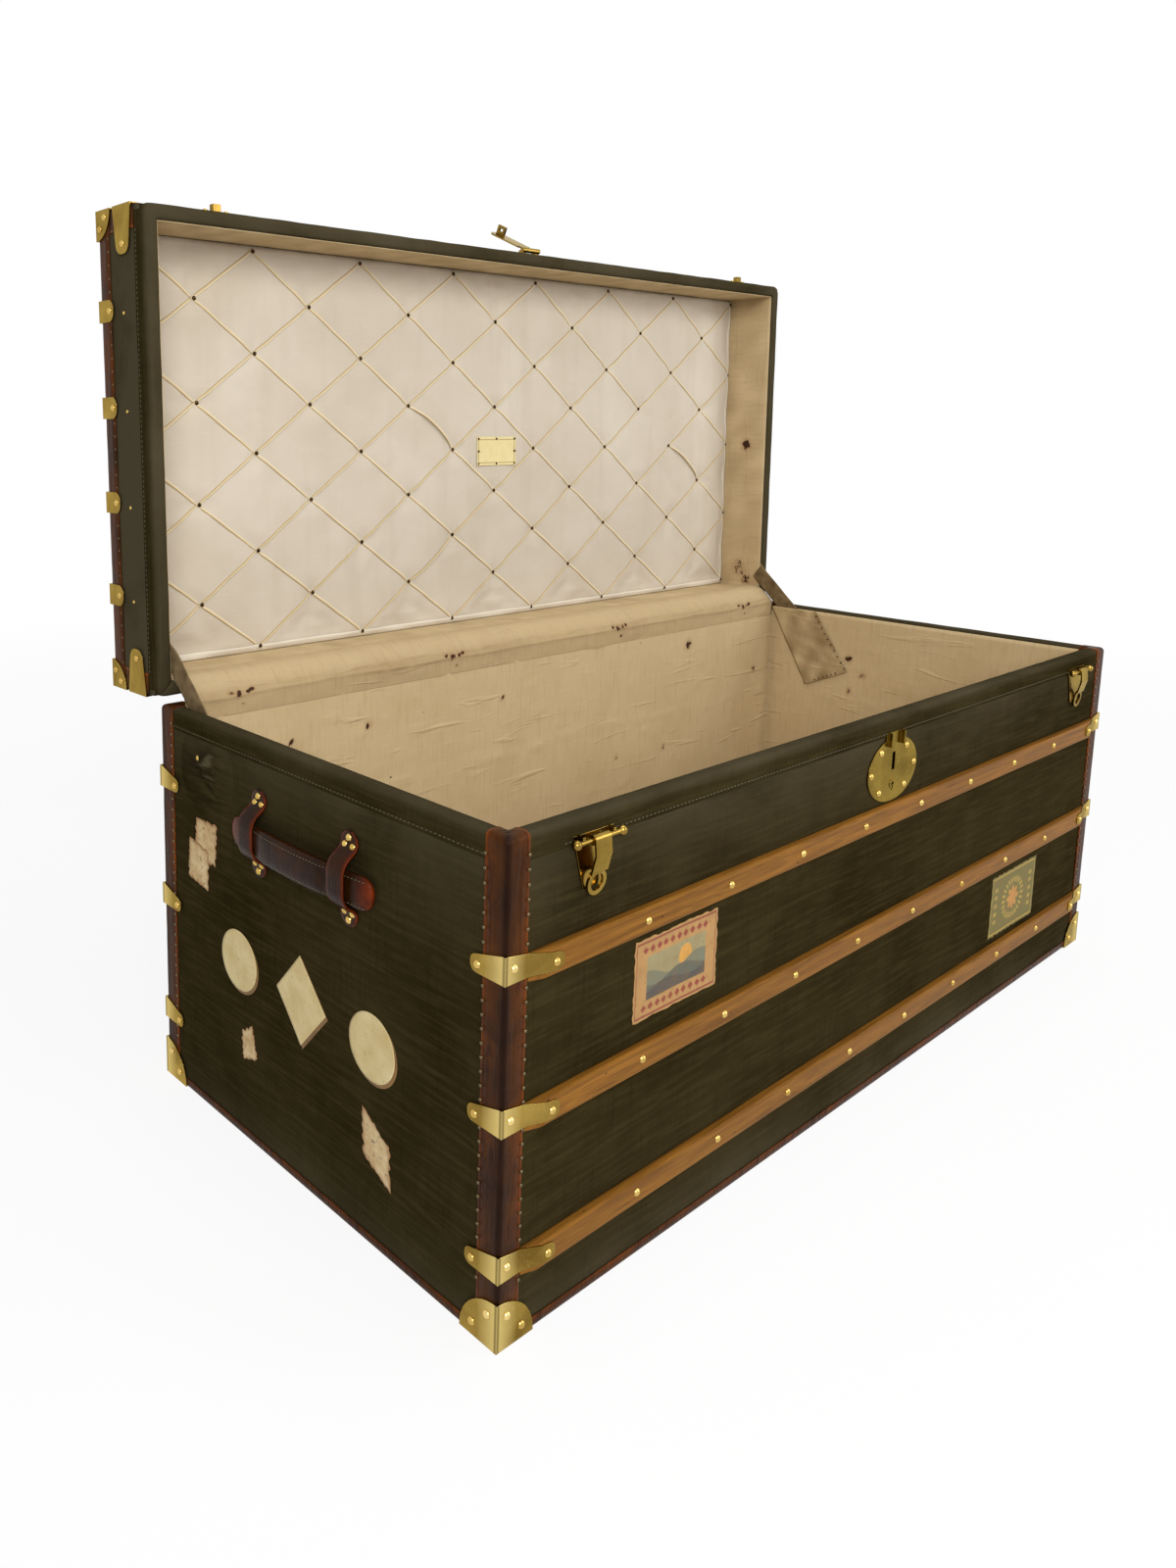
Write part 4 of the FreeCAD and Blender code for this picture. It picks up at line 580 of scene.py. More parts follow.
def leather(name, deep, mid, bright, rough, polish, streaky, shine=0.06):
    """Hide: a cell grain, creases, streaks and a cloudy colour, brighter where the mesh's wear mark says, and
    darker where its dark mark lays painted shade.
    """
    made = Finish(name, Specular_IOR_Level=shine, Coat_Weight=polish, Coat_Roughness=0.16)
    at = made.place()
    cloudy = made.noise(at, 26, 5, 0.65, 0.6)
    pores = made.cells(at, 700)
    creases = made.noise(at, 130, 5, 0.7, 1.2)
    streaks = made.noise(made.place(scale=(1, 1, 0.1)), 150, 3, 0.6, 0.4)
    colour = made.mix(made.span(cloudy, 0.3, 0.7), deep, mid)
    rubbed = made.calc("MULTIPLY", made.mark("worn"), made.span(cloudy, 0.3, 0.65, 0.1, 1.0))
    colour = made.mix(rubbed, colour, bright)
    # Painted shade: darkest where the mesh's dark mark says, along a binding's corner and pressed lines.
    colour = made.mix(made.calc("MULTIPLY", made.mark("dark"), 0.85), colour, tone(20, 9, 6))
    colour = made.tint(colour, creases, 0.62, 0.72, 0.5, (24, 12, 8))
    colour = made.tint(colour, streaks, 0.52, 0.68, streaky, (26, 12, 5))
    shape = made.relief(pores, 0.25 * MM, strength=0.5)
    shape = made.relief(creases, 0.5 * MM, shape, 0.45)
    shape = made.relief(streaks, 2.2 * MM, shape, streaky)
    rough = made.span(cloudy, 0.25, 0.75, rough, rough + 0.22)
    return made.wear(Base_Color=colour, Roughness=rough, Normal=shape, Coat_Normal=shape)


binding = leather("oxblood_binding", tone(42, 20, 4), tone(74, 40, 10), tone(126, 62, 17), 0.24, 0.0, 0.6)
fold_out = np.array([1.4, 0.9, -0.4, -2.6, -5, -8, -11.5, -14, -15.6, -16.3, -16.5])
fold_rise = np.array([-4.2, -2.2, -0.7, 0.1, 0.3, 0.36, 0.3, -0.6, -2.2, -4.6, -9])
stem_rise = np.linspace(board_foot, rim_top - 6 * MM, 60)
upright_out = np.concatenate((np.full(60, leather_out), fold_out * MM))
upright_rise = np.concatenate((stem_rise, rim_top + fold_rise * MM))
corners = bound_corners("corner_bindings", upright_out, upright_rise, 21)
dress(corners, binding, "trunk", ["corner_leathers"])

iron = Finish("blackened_iron", Metallic=0.85)
iron_patch = iron.noise(iron.place(), 400, 4)
iron.wear(
    Base_Color=iron.mix(iron_patch, tone(38, 30, 19), tone(136, 116, 82)),
    Roughness=iron.span(iron_patch, 0.3, 0.7, 0.22, 0.45),
)


def corner_nails(levels):
    """Two rows of nails on each corner binding, one near each edge, at the given heights."""
    signs = np.array([[-1, 1], [-1, -1], [1, -1], [1, 1]])
    end_wall = signs * (half_length + leather_out, half_depth - nail_inset)
    long_wall = signs * (half_length - nail_inset, half_depth + leather_out)
    flat = np.concatenate((end_wall, long_wall))
    out = np.concatenate((signs * (1, 0), signs * (0, 1)))
    places = np.concatenate([np.column_stack((flat, np.full(8, level))) for level in levels])
    out = np.column_stack((np.tile(out, (len(levels), 1)), np.zeros(8 * len(levels))))
    return places, out


def nail_heads(name, places, out, radius, height):
    """Domed nail heads seated on a face, each turned to its outward direction."""
    side = np.cross(out, np.where(np.abs(out[:, 2:]) > 0.7, (1.0, 0, 0), (0, 0, 1.0)))
    side /= np.linalg.norm(side, axis=1)[:, None]
    return studs(name, places, side * radius, np.cross(out, side) * radius, out * height)


places, out = corner_nails(np.arange(50 * MM, 396 * MM, nail_step))
dress(nail_heads("corner_nails", places, out, 1.8 * MM, 1.3 * MM), iron, "trunk")

# Foot edging. A narrow strip of the same leather round the bottom edge, glued up the wall and under
# the floor, and rubbed bright where it turns.
edging_out = np.array([1.1, 1.45, 1.45, 1.4, 1.0, 0.2, -1.5, -8.6])
edging_rise = np.array([9, 8.5, 5, 2.4, 0.9, 0.3, 0.1, 0.1])
ring = square_ring(half_length, half_depth, 12 * MM)
walk, run = grid_of(ring[2], np.arange(8) * 4 * MM)
points = wrap(ring, edging_out[::-1] * MM, edging_rise[::-1] * MM)
edging = (points, flat_map(walk, run), {"worn": 0.6 * bell(run - 26 * MM, 3 * MM)})
edging = lay("foot_edging", edging, thick=0.9 * MM)
dress(edging, binding, "trunk", ["bottom_edge_leathers"])

# Slats. Varnished beech battens with rounded edges, riveted along the front, the back and the lid.
# Their CAD shape is the real one; the varnish is darker in the pores.
beech = Finish("varnished_beech", Specular_IOR_Level=0.06)
grain_at = beech.place(scale=(2.2, 46, 46))
figure = beech.noise(grain_at, 3.2, 5, 0.62, 1.1)
pores = beech.noise(beech.place(scale=(9, 420, 420)), 2.2, 3, 0.6)
patches = beech.noise(beech.place(), 9, 3)
colour = beech.two_tone(figure, 0.3, 0.72, (98, 62, 19), (148, 100, 37))
colour = beech.tint(colour, patches, 0.45, 0.75, 0.5, (114, 74, 25))
colour = beech.tint(colour, pores, 0.56, 0.72, 0.7, (70, 36, 12))
knocks = beech.span(beech.cells(beech.place(scale=(1, 2.5, 2.5)), 26), 0.06, 0.03)
colour = beech.mix(knocks, colour, tone(66, 38, 18))
shape = beech.relief(pores, 0.3 * MM, beech.soft_edge(2.4 * MM), 0.4)
beech.wear(Base_Color=colour, Roughness=beech.span(figure, 0.2, 0.8, 0.34, 0.5), Normal=shape)
body_slats = [f"{wall}_slat_{tier}" for wall in ("front", "back") for tier in ("upper", "middle", "lower")]
lid_slats = [f"lid_slat_{row}" for row in ("front", "second", "third", "back")]
coat(beech, *body_slats, *lid_slats)

# Brass fittings. Sheet brass clamps, caps, lock, latches and rivets, pressed and filed to shape.
# The faces are brushed and dulled by hands and flecked brown, and the lock plate is browner.


def sheet_brass(name, deep, mid, bright, rough):
    """Brass: cloudy tarnish, fine scratches, brown specks, a softened edge, and along the upright fold,
    found from the distances across and deep added up, a dark line of painted shade between brighter bands of
    painted highlight."""
    made = Finish(name, Metallic=1.0, Specular_Tint=(0.93, 0.85, 0.6, 1))
    at = made.place()
    dull = made.noise(at, 22, 4, 0.55, 0.5)
    specks = made.span(made.noise(at, 420, 3, 0.7), 0.64, 0.74, 0.0, 0.45)
    scratches = made.noise(made.place(scale=(1, 9, 1), turn=(0.4, 0.3, 0.7)), 320, 3, 0.7)
    colour = made.mix(made.span(dull, 0.3, 0.72), deep, mid)
    colour = made.mix(made.span(scratches, 0.6, 0.75, 0.0, 0.35), colour, bright)
    colour = made.mix(specks, colour, tone(84, 60, 28))
    across, deep_in = (made.calc("ABSOLUTE", way) for way in made.node("SeparateXYZ", {0: at}).outputs[:2])
    fold = half_length + half_depth + 3.9 * MM
    beside = made.calc("ABSOLUTE", made.calc("SUBTRACT", fold, made.calc("ADD", across, deep_in)))
    # Painted highlight in bands either side of the upright fold, and painted shade in a thin line along it.
    colour = made.mix(made.span(beside, 3 * MM, 20 * MM, 0.75, 0.0), colour, bright)
    colour = made.mix(made.span(beside, 0.5 * MM, 1.8 * MM, 0.6, 0.0), colour, tone(52, 36, 12))
    shape = made.relief(scratches, 0.12 * MM, made.soft_edge(0.6 * MM), 0.3)
    shape = made.relief(dull, 1.5 * MM, shape, 0.12)
    rough = made.span(dull, 0.25, 0.75, rough, rough + 0.16)
    return made.wear(Base_Color=colour, Roughness=rough, Normal=shape)


brass = sheet_brass("aged_brass", tone(116, 90, 36), tone(172, 143, 70), tone(224, 199, 126), 0.12)
bright_brass = sheet_brass("rubbed_brass", tone(184, 148, 74), tone(222, 190, 112), tone(244, 220, 150), 0.1)
browned = sheet_brass("browned_brass", tone(100, 78, 28), tone(154, 128, 58), tone(212, 186, 108), 0.15)
coat(brass, "front_slat_clamps", "back_slat_clamps", "lid_slat_clamps", "lid_corner_clamps")
coat(brass, "bottom_corner_caps", "lid_corner_caps", "hasp_base", "hasp", "latch_keepers")
coat(brass, *(f"{side}_latch_{piece}" for side in ("left", "right") for piece in ("plate", "lever")))
coat(browned, "lock_plate")
coat(bright_brass, "body_rivets", "handle_rivets", "lid_rivets")

# Hinges and lock case. Dull steel leaves, barrels and pins, screwed on behind the trunk,
# and the steel case of the lock, let into the front board.
steel = Finish("dull_steel", Metallic=1.0)
steel_at = steel.noise(steel.place(scale=(1, 1, 6)), 70, 5, 0.65)
steel.wear(
    Base_Color=steel.two_tone(steel_at, 0.3, 0.7, (78, 66, 52), (136, 130, 120)),
    Roughness=steel.span(steel_at, 0.25, 0.75, 0.32, 0.58),
    Normal=steel.relief(steel_at, 0.3 * MM, steel.soft_edge(0.5 * MM), 0.4),
)
coat(steel, "lock_case", "hinge_body_leaves", "hinge_lid_leaves", "hinge_pins")

# Dent nail. One domed brass nail in the left end near its back corner,
# driven through the canvas beside the dent.
dent_nail = np.array([[-half_length + 0.6 * MM, half_depth - dent_at[0], dent_at[1]]])
dent_nail = nail_heads("dent_nail", dent_nail, np.array([[-1.0, 0, 0]]), 3.0 * MM, 1.6 * MM)
dress(dent_nail, bright_brass, "trunk")

# Side handles. Two leather loops on each end, riveted above and below, hold a bowed grip
# of stitched leather. The grip lifts in its loops, so it moves on its own.
handle_level, loop_spread, loop_half = 316 * MM, 66.5 * MM, 11 * MM
grip_tones = tone(16, 7, 1), tone(50, 25, 6), tone(128, 46, 13)
grip_leather = leather("dark_grip_leather", *grip_tones, 0.16, 0.05, 0.12)


def eased(line, times):
    """Rounds a line of points: each side is cut at a quarter and at three quarters, a few times over."""
    for _ in range(times):
        near, far = line[:-1] * 0.75 + line[1:] * 0.25, line[:-1] * 0.25 + line[1:] * 0.75
        line = np.concatenate((line[:1], np.stack((near, far), 1).reshape(-1, line.shape[1]), line[-1:]))
    return line


def path_normal(path):
    """Unit directions square to a flat line of points, on its left."""
    ahead = np.gradient(path, axis=0)
    ahead /= np.linalg.norm(ahead, axis=1)[:, None]
    return np.stack((-ahead[:, 1], ahead[:, 0]), -1)


def loop_sheets(side):
    """Strap path from the upper tab over the grip to the lower tab, carried across the strap's width.
    The tabs' ends are rounded, and the strap's edges fall away a little."""
    tab, bend = [(2.5, 41), (2.5, 34.5), (2.7, 29.5), (5.5, 25.8)], [(11, 22.4), (15.4, 17.8), (17.9, 11)]
    path = np.array([*tab, *bend, (18.2, 4)]) * MM
    path = eased(np.concatenate((path, path[::-1] * (1, -1))), 2)
    walked, normal = run_length(*path.T), path_normal(path)
    end_gap = np.minimum(walked, walked[-1] - walked)
    half = loop_half * np.sqrt(1 - np.clip(1 - end_gap / (9 * MM), 0, 0.93) ** 2)
    share = np.array([-1, -0.97, -0.88, -0.6, 0, 0.6, 0.88, 0.97, 1])
    fall = -0.5 * MM * np.abs(share) ** 8 - 0.25 * MM * bell(np.abs(share) - 0.8, 0.05)
    sheets = []
    for middle in (-loop_spread, loop_spread):
        out = path[:, :1] + normal[:, :1] * fall
        rise = path[:, 1:] + normal[:, 1:] * fall
        deep = middle + half[:, None] * share
        points = np.stack((side * (half_length + out), deep + 0 * out, handle_level + rise), -1)
        order = np.s_[:, ::-1] if side < 0 else np.s_[:, :]
        notes = {"worn": (np.abs(share) ** 6 * 0.7 + 0 * out)[order]}
        sheets.append((points[order], flat_map(walked[:, None], half[:, None] * share)[order], notes))
    return sheets


grip_bow, grip_stand, grip_turn = 654 * MM, 13.3 * MM, math.radians(9.05)
grip_level, grip_thick, grip_swell = handle_level - 3.3 * MM, 3.9, 1.4


def grip_fullness(share):
    """One in the grip's middle and nought near the loops, with a smooth step between."""
    full = np.clip((0.5 - np.abs(share)) / 0.12, 0, 1)
    return full * full * (3 - 2 * full)


def grip_shape(side, power=0.72):
    """Closed grip: a rounded oblong section, cosine and sine raised to a power, carried along a bow.
    The middle is fuller, the ends close like tongues, and two lines are pressed along the edges."""
    share = np.sin(np.linspace(-1, 1, 91) * np.pi / 2) * 0.35 + np.linspace(-1, 1, 91) * 0.65
    turn = np.linspace(0, 2 * np.pi, 41)
    end = np.sqrt(np.clip(1 - np.clip((np.abs(share) - 0.86) / 0.14, 0, 1) ** 2, 0, 1))
    full = grip_fullness(share)
    tall = (14.6 + 0.6 * full) * MM * (0.12 + 0.88 * end) * (end > 0)
    thick = (grip_thick + grip_swell * full) * MM * (0.35 + 0.65 * end) * (end > 0)
    across = np.sign(np.cos(turn)) * np.abs(np.cos(turn)) ** power
    upward = np.sign(np.sin(turn)) * np.abs(np.sin(turn)) ** power
    groove = 0.45 * MM * bell(np.abs(upward) - 0.74, 0.05) * (across > 0)
    angle = share * grip_turn
    reach = grip_bow + thick[:, None] * across - groove * end[:, None]
    deep = reach * np.sin(angle)[:, None]
    away = grip_stand + reach * np.cos(angle)[:, None] - grip_bow
    rise = grip_level + tall[:, None] * upward
    points = np.stack((side * (half_length + away), side * deep, rise), -1)
    tips = np.clip((np.abs(share) - 0.8) / 0.2, 0, 1)[:, None]
    notes = {"worn": 0.5 * np.clip(-across, 0, 1) + 0.9 * tips}
    return points, flat_map((angle * grip_bow)[:, None], turn * 12 * MM), notes


def grip_stitches(name, side, count=46):
    """Two rows of stitches along the grip's outer face, in the pressed lines."""
    share = np.repeat(np.linspace(-0.91, 0.91, count), 2)
    angle = share * grip_turn
    row = np.tile((-11 * MM, 11 * MM), count)
    reach = grip_bow + (grip_thick + grip_swell * grip_fullness(share)) * 0.8 * MM
    away = grip_stand + reach * np.cos(angle) - grip_bow
    places = np.column_stack((side * (half_length + away), side * reach * np.sin(angle), grip_level + row))
    out = np.column_stack((side * np.cos(angle), side * np.sin(angle), 0 * angle))
    run = np.column_stack((-np.sin(angle), np.cos(angle), 0 * angle))
    up = np.tile((0, 0, side * stitch_thin), (2 * count, 1))
    return studs(name, places, run * 1.5 * MM, up, out * 0.6 * MM)


def sealed(shape):
    """Merges doubled points and turns every face outwards."""
    weld(shape)
    bmesh.ops.recalc_face_normals(shape, faces=shape.faces)


for side, word in ((-1, "left"), (1, "right")):
    loops = lay(f"{word}_handle_straps", *loop_sheets(side), thick=2.2 * MM)
    dress(loops, grip_leather, "trunk", [f"{word}_handle_loops"])
    grip = tend(lay(f"{word}_stitched_grip", grip_shape(side)), sealed)
    dress(grip, grip_leather, f"{word}_grip", [f"{word}_handle_grip"])
    dress(grip_stitches(f"{word}_grip_stitches", side), thread, f"{word}_grip")

# Painted marks and old papers. The owner's mark is brushed on the left end in cream with an ochre shade,
# as a lozenge between two discs; torn travel papers and two printed labels are pasted on the canvas.


def on_left(along_y, up, lift):
    """Points on the left end's canvas, lifted off it by a little."""
    sunk = canvas_sink(half_depth - along_y, up)
    return np.stack((-(half_length + sunk + lift), along_y, up), -1)


def on_front(along_x, up, lift):
    """Points on the front's canvas, lifted off it by a little."""
    sunk = canvas_sink(depth + half_length + along_x, up)
    return np.stack((along_x, -(half_depth + sunk + lift), up), -1)


def brushed(name, light, dark):
    """Old oil paint: thin in the weave, with worn flecks where the canvas shows."""
    made = Finish(name, Roughness=0.62)
    at = made.place()
    gone = made.span(made.noise(at, 260, 5, 0.72), 0.6, 0.7, 0.0, 0.7)
    colour = made.mix(made.span(made.noise(at, 40, 4), 0.3, 0.7), light, dark)
    colour = made.mix(gone, colour, tone(62, 52, 28))
    return made.wear(Base_Color=colour, Normal=made.relief(made.noise(at, 500, 3), 0.2 * MM, strength=0.4))


def polar_patch(outline, centre, lift):
    """A patch on the left end, from its middle out to an outline, radius by turn, in even rings."""
    turn = np.linspace(0, 2 * np.pi, 97)
    share = np.linspace(0.0, 1, 13)[:, None]
    radius = outline(turn)
    across = centre[0] + share * radius * np.cos(turn)
    up = centre[1] + share * radius * np.sin(turn)
    return on_left(across, up, lift)[:, ::-1], flat_map(across, up)[:, ::-1], {}


def lozenge(half_wide, half_tall):
    """Outline of a lozenge: one over the cosine's share of the width plus the sine's share of the height."""
    return lambda turn: 1 / (np.abs(np.cos(turn)) / half_wide + np.abs(np.sin(turn)) / half_tall)


def disc(radius):
    """Outline of a disc: the same radius all round."""
    return lambda turn: radius + 0 * turn


cream_paint = brushed("cream_paint", tone(206, 188, 138), tone(186, 162, 106))
ochre_paint = brushed("ochre_paint", tone(128, 92, 38), tone(96, 66, 26))
mark_level = 178 * MM
marks = [(disc(30 * MM), 106 * MM), (lozenge(37 * MM, 43 * MM), 6 * MM), (disc(30 * MM), -94 * MM)]
coats = [("ochre_shade", ochre_paint, 3 * MM, 0.1 * MM), ("cream_marks", cream_paint, 0, 0.2 * MM)]
for name, paint, shift, lift in coats:
    patches = [polar_patch(shape, (y - shift, mark_level - 0.7 * shift), lift) for shape, y in marks]
    painted = tend(lay(name, *patches, thick=0.1 * MM), weld)
    dress(painted, paint, "trunk")

paper = Finish("old_paper", Roughness=0.8)
paper_at = paper.place()
blotches = paper.noise(paper_at, 55, 5, 0.7)
colour = paper.two_tone(blotches, 0.35, 0.7, (172, 138, 88), (212, 192, 150))
colour = paper.mix(paper.calc("POWER", paper.mark("rim"), 3.0), colour, tone(128, 84, 40))
colour = paper.tint(colour, paper.noise(paper_at, 160, 4, 0.7), 0.58, 0.68, 0.8, (70, 54, 30))
paper.wear(Base_Color=colour, Normal=paper.relief(blotches, 0.5 * MM, strength=0.4))


def scrap(corners, seed, lift):
    """A torn scrap: an even grid between four corners, given anticlockwise as seen, whose rim wanders."""
    u, v = grid_of(*[np.linspace(0, 1, 31)] * 2)
    corners = np.array(corners)[:, None, None] * MM
    shares = (1 - u) * (1 - v), u * (1 - v), u * v, (1 - u) * v
    flat = sum(corner * share[..., None] for corner, share in zip(corners, shares))
    rim = np.clip(2 * np.maximum(np.abs(u - 0.5), np.abs(v - 0.5)) - 0.6, 0, 0.4) / 0.4
    ragged = 1.4 * MM * drift(flat[..., 0], flat[..., 1], 7 * MM, seed)
    middle = flat.mean((0, 1))
    spread = flat - middle
    flat = flat + spread * (ragged * rim / np.linalg.norm(spread, axis=-1).clip(MM))[..., None]
    return on_left(flat[..., 0], flat[..., 1], lift)[:, ::-1], flat[:, ::-1], {"rim": rim[:, ::-1]}


scraps = [
    scrap([(184, 258), (146, 259), (142, 301), (180, 300)], 41, 0.25 * MM),
    scrap([(197, 235), (160, 229), (158, 269), (194, 277)], 42, 0.4 * MM),
    scrap([(100, 80), (76, 88), (84, 120), (102, 108)], 43, 0.25 * MM),
    scrap([(-84, 78), (-120, 60), (-118, 100), (-82, 122)], 44, 0.25 * MM),
]
dress(lay("paper_scraps", *scraps, thick=0.12 * MM), paper, "trunk")

printed = Finish("printed_label", Roughness=0.72)
printed_at = printed.place()
faded = printed.noise(printed_at, 70, 5, 0.65)
rubbed_off = printed.noise(printed_at, 260, 4, 0.7)
browned_share = printed.span(faded, 0.35, 0.75, 0.1, 0.5)
colour = printed.mix(browned_share, printed.mark("ink", "Color"), tone(122, 86, 42))
colour = printed.tint(colour, rubbed_off, 0.62, 0.72, 0.7, (74, 58, 32))
printed.wear(Base_Color=colour, Normal=printed.relief(faded, 0.5 * MM, strength=0.4))


def label(name, left, foot, width, height, seed, ink):
    """A pasted label: an oblong grid on the front, a little ragged at its edges, coloured by its drawing."""
    u, v = grid_of(np.linspace(0, 1, 121), np.linspace(0, 1, 81))
    ragged = 0.8 * MM * drift(u * width, v * height, 12 * MM, seed)
    x = left + u * width + ragged * (np.abs(u - 0.5) > 0.48)
    z = foot + v * height + ragged * (np.abs(v - 0.5) > 0.48)
    colour = np.concatenate((ink(u * width, v * height), np.ones((*u.shape, 1))), -1)
    piece = lay(name, (on_front(x, z, 0.3 * MM), flat_map(x, z), {"ink": colour}), thick=0.12 * MM)
    dress(piece, printed, "trunk")


def print_over(ground, *layers):
    """Lays inks over a paper colour, each where its mask holds."""
    colour = np.broadcast_to(np.array(tone(*ground)[:3]), (*layers[0][0].shape, 3)).copy()
    for mask, shade in layers:
        colour[mask] = tone(*shade)[:3]
    return colour


sun_label = (112 * MM, 70 * MM)


def sun_print(x, y):
    """Red frame, a row of red lozenges above and below, and between them a sun over three rolling hills."""
    wide, tall = sun_label
    edge = np.minimum(np.minimum(x, wide - x), np.minimum(y, tall - y))
    picture = (np.abs(x - wide / 2) < 40 * MM) & (np.abs(y - tall / 2) < 19 * MM)
    beat = np.abs((x / (9 * MM)) % 1 - 0.5)
    band = np.abs(np.abs(y - tall / 2) - 25 * MM)
    gems = (band / (3.4 * MM) + beat / 0.42 < 1) & (np.abs(x - wide / 2) < 45 * MM)
    sun = np.hypot(x - 68 * MM, y - 41 * MM) < 9 * MM
    rolls = [(36, 5, 0), (31, 4, 2.1), (25, 3, 4)]
    hills = [y < (level + swell * np.sin(x / (11 * MM) + turn)) * MM for level, swell, turn in rolls]
    layers = [((edge > 2 * MM) & (edge < 3.6 * MM), (126, 40, 32)), (gems, (132, 42, 34))]
    layers += [(picture, (146, 138, 98))]
    layers += [(picture & sun, (206, 150, 62)), (picture & hills[0], (104, 112, 92))]
    layers += [(picture & hills[1], (76, 84, 74)), (picture & hills[2], (58, 62, 60))]
    return print_over((176, 134, 78), *layers)


star_label = (122 * MM, 76 * MM)


def star_print(x, y):
    """Green paper with a yellow border, a ring of rays and an eight-pointed star in the middle."""
    wide, tall = star_label
    across, up = x - wide / 2, y - tall / 2
    edge = np.minimum(np.minimum(x, wide - x), np.minimum(y, tall - y))
    radius, turn = np.hypot(across, up * 1.15), np.arctan2(up, across)
    star = radius < (9 + 8 * np.abs(np.cos(4 * turn))) * MM
    rays = (radius > 22 * MM) & (radius < 30 * MM) & (np.cos(24 * turn) > 0.2)
    column = (np.abs(np.abs(across) - 47 * MM) < 4 * MM) & (np.abs(up) < 28 * MM)
    bars = column & (np.cos(up / (1.6 * MM)) > 0.1)
    layers = [((edge > 2.5 * MM) & (edge < 4 * MM), (176, 150, 60)), (radius < 31 * MM, (96, 92, 34))]
    layers += [(rays, (178, 152, 64)), (star, (186, 132, 60)), (bars, (158, 136, 56))]
    return print_over((96, 92, 34), *layers)


label("sun_label", -402 * MM, 210 * MM, *sun_label, 51, sun_print)
label("star_label", 272 * MM, 82 * MM, *star_label, 52, star_print)

# Lid canvas. The same olive cloth over the lid's four low walls and its flat top, glued to the boards.
# The lid is worked out closed and swung open about its hinge line.
hinge_line = np.array([0, 248.1, 402.3]) * MM
open_angle = math.radians(91)
lid_low, lid_top = 402.6 * MM, 496.6 * MM


def swing(points):
    """Lid points from the closed lid to the open one: a turn backwards about the hinge line."""
    gap = points - hinge_line
    cosine, sine = math.cos(-open_angle), math.sin(-open_angle)
    along, back, up = np.moveaxis(gap, -1, 0)
    return hinge_line + np.stack((along, back * cosine - up * sine, back * sine + up * cosine), -1)


ring = square_ring(half_length, half_depth, 8 * MM)
walk, rise = grid_of(ring[2], np.linspace(lid_low + 11 * MM, lid_top - 0.4 * MM, 14))
sunk = 0.24 * MM * np.minimum(drift(walk, rise, 100 * MM, 61) - 1, 0)
# The lid's walls carry a wear mark of more than one all over, so their canvas is lighter than the body's, and
# more so towards the rim.
worn = 1.2 + 0.3 * np.exp((lid_low - rise) / (30 * MM))
lid_band = (swing(wrap(ring, sunk, rise)), flat_map(walk, rise), {"worn": worn})
wide, deep = grid_of(*(np.linspace(-half, half, n) for half, n in ((half_length, 139), (half_depth, 62))))
sunk = 0.3 * MM * np.minimum(drift(wide, deep, 120 * MM, 62) - 1, 0)
edge_gap = np.minimum(half_length - np.abs(wide), half_depth - np.abs(deep))
top = np.stack((wide, deep, lid_top + sunk), -1)
lid_face = (swing(top), flat_map(wide, deep), {"worn": 0.12 + 0.5 * np.exp(-edge_gap / (40 * MM))})
dress(lay("lid_canvas_cover", lid_band, lid_face, thick=1.0 * MM), canvas, "lid", ["lid_canvas"])


def opened(piece):
    """Swings a finished lid piece from the closed place to the open one."""
    flat = np.empty(len(piece.data.vertices) * 3, np.float32)
    piece.data.vertices.foreach_get("co", flat)
    moved = swing(flat.reshape(-1, 3).astype(float))
    piece.data.vertices.foreach_set("co", moved.astype(np.float32).ravel())
    piece.data.update()
    return piece


# Lid rim. A strip of canvas over the edge of the lid's walls, glued and sewn like the body's,
# and turned upside down, so that the two rims meet.
dress(opened(rim_cover("lid_rim_cover", lid_low, -1, 6)), canvas, "lid", ["lid_rim"])
dress(opened(hem_stitches("lid_rim_stitches", lid_low + hem_drop)), thread, "lid")

# Lid bindings. The same leather folded over the lid's top edges and round its four short corners,
# glued and nailed like the body's. Four small brass nails stand beside the clamps on each end.
edge_out = np.array([0.8, 1.4, 1.45, 1.4, 1.0, 0.1, -1.4, -3, -18.4, -20, -21.4, -22])
edge_rise = np.array([-22, -21.2, -12, -3, -1, 0.6, 1.3, 1.45, 1.45, 1.45, 1.4, 0.8])
edge_inset, lid_nail_step = 20.4 * MM, 13.4 * MM
ring = square_ring(half_length, half_depth, 9 * MM)
walk, run = grid_of(ring[2], np.arange(12) * 4 * MM)
soft = 0.12 * MM * np.abs(drift(walk, run, 40 * MM, 71))
points = wrap(ring, edge_out * MM - soft, lid_top + edge_rise * MM - 0.6 * soft)
worn = 0.15 + 0.85 * bell(run - 20 * MM, 5 * MM)
lid_edges = opened(lay("lid_edge_bindings", (points, flat_map(walk, run), {"worn": worn}), thick=1.0 * MM))
dress(lid_edges, binding, "lid", ["lid_edge_leathers"])
stem_rise = np.linspace(lid_low + 21 * MM, lid_top - 22.6 * MM, 10)
lid_corners = bound_corners("lid_corner_bindings", np.full(10, leather_out), stem_rise, 72)
dress(opened(lid_corners), binding, "lid", ["lid_corner_leathers"])

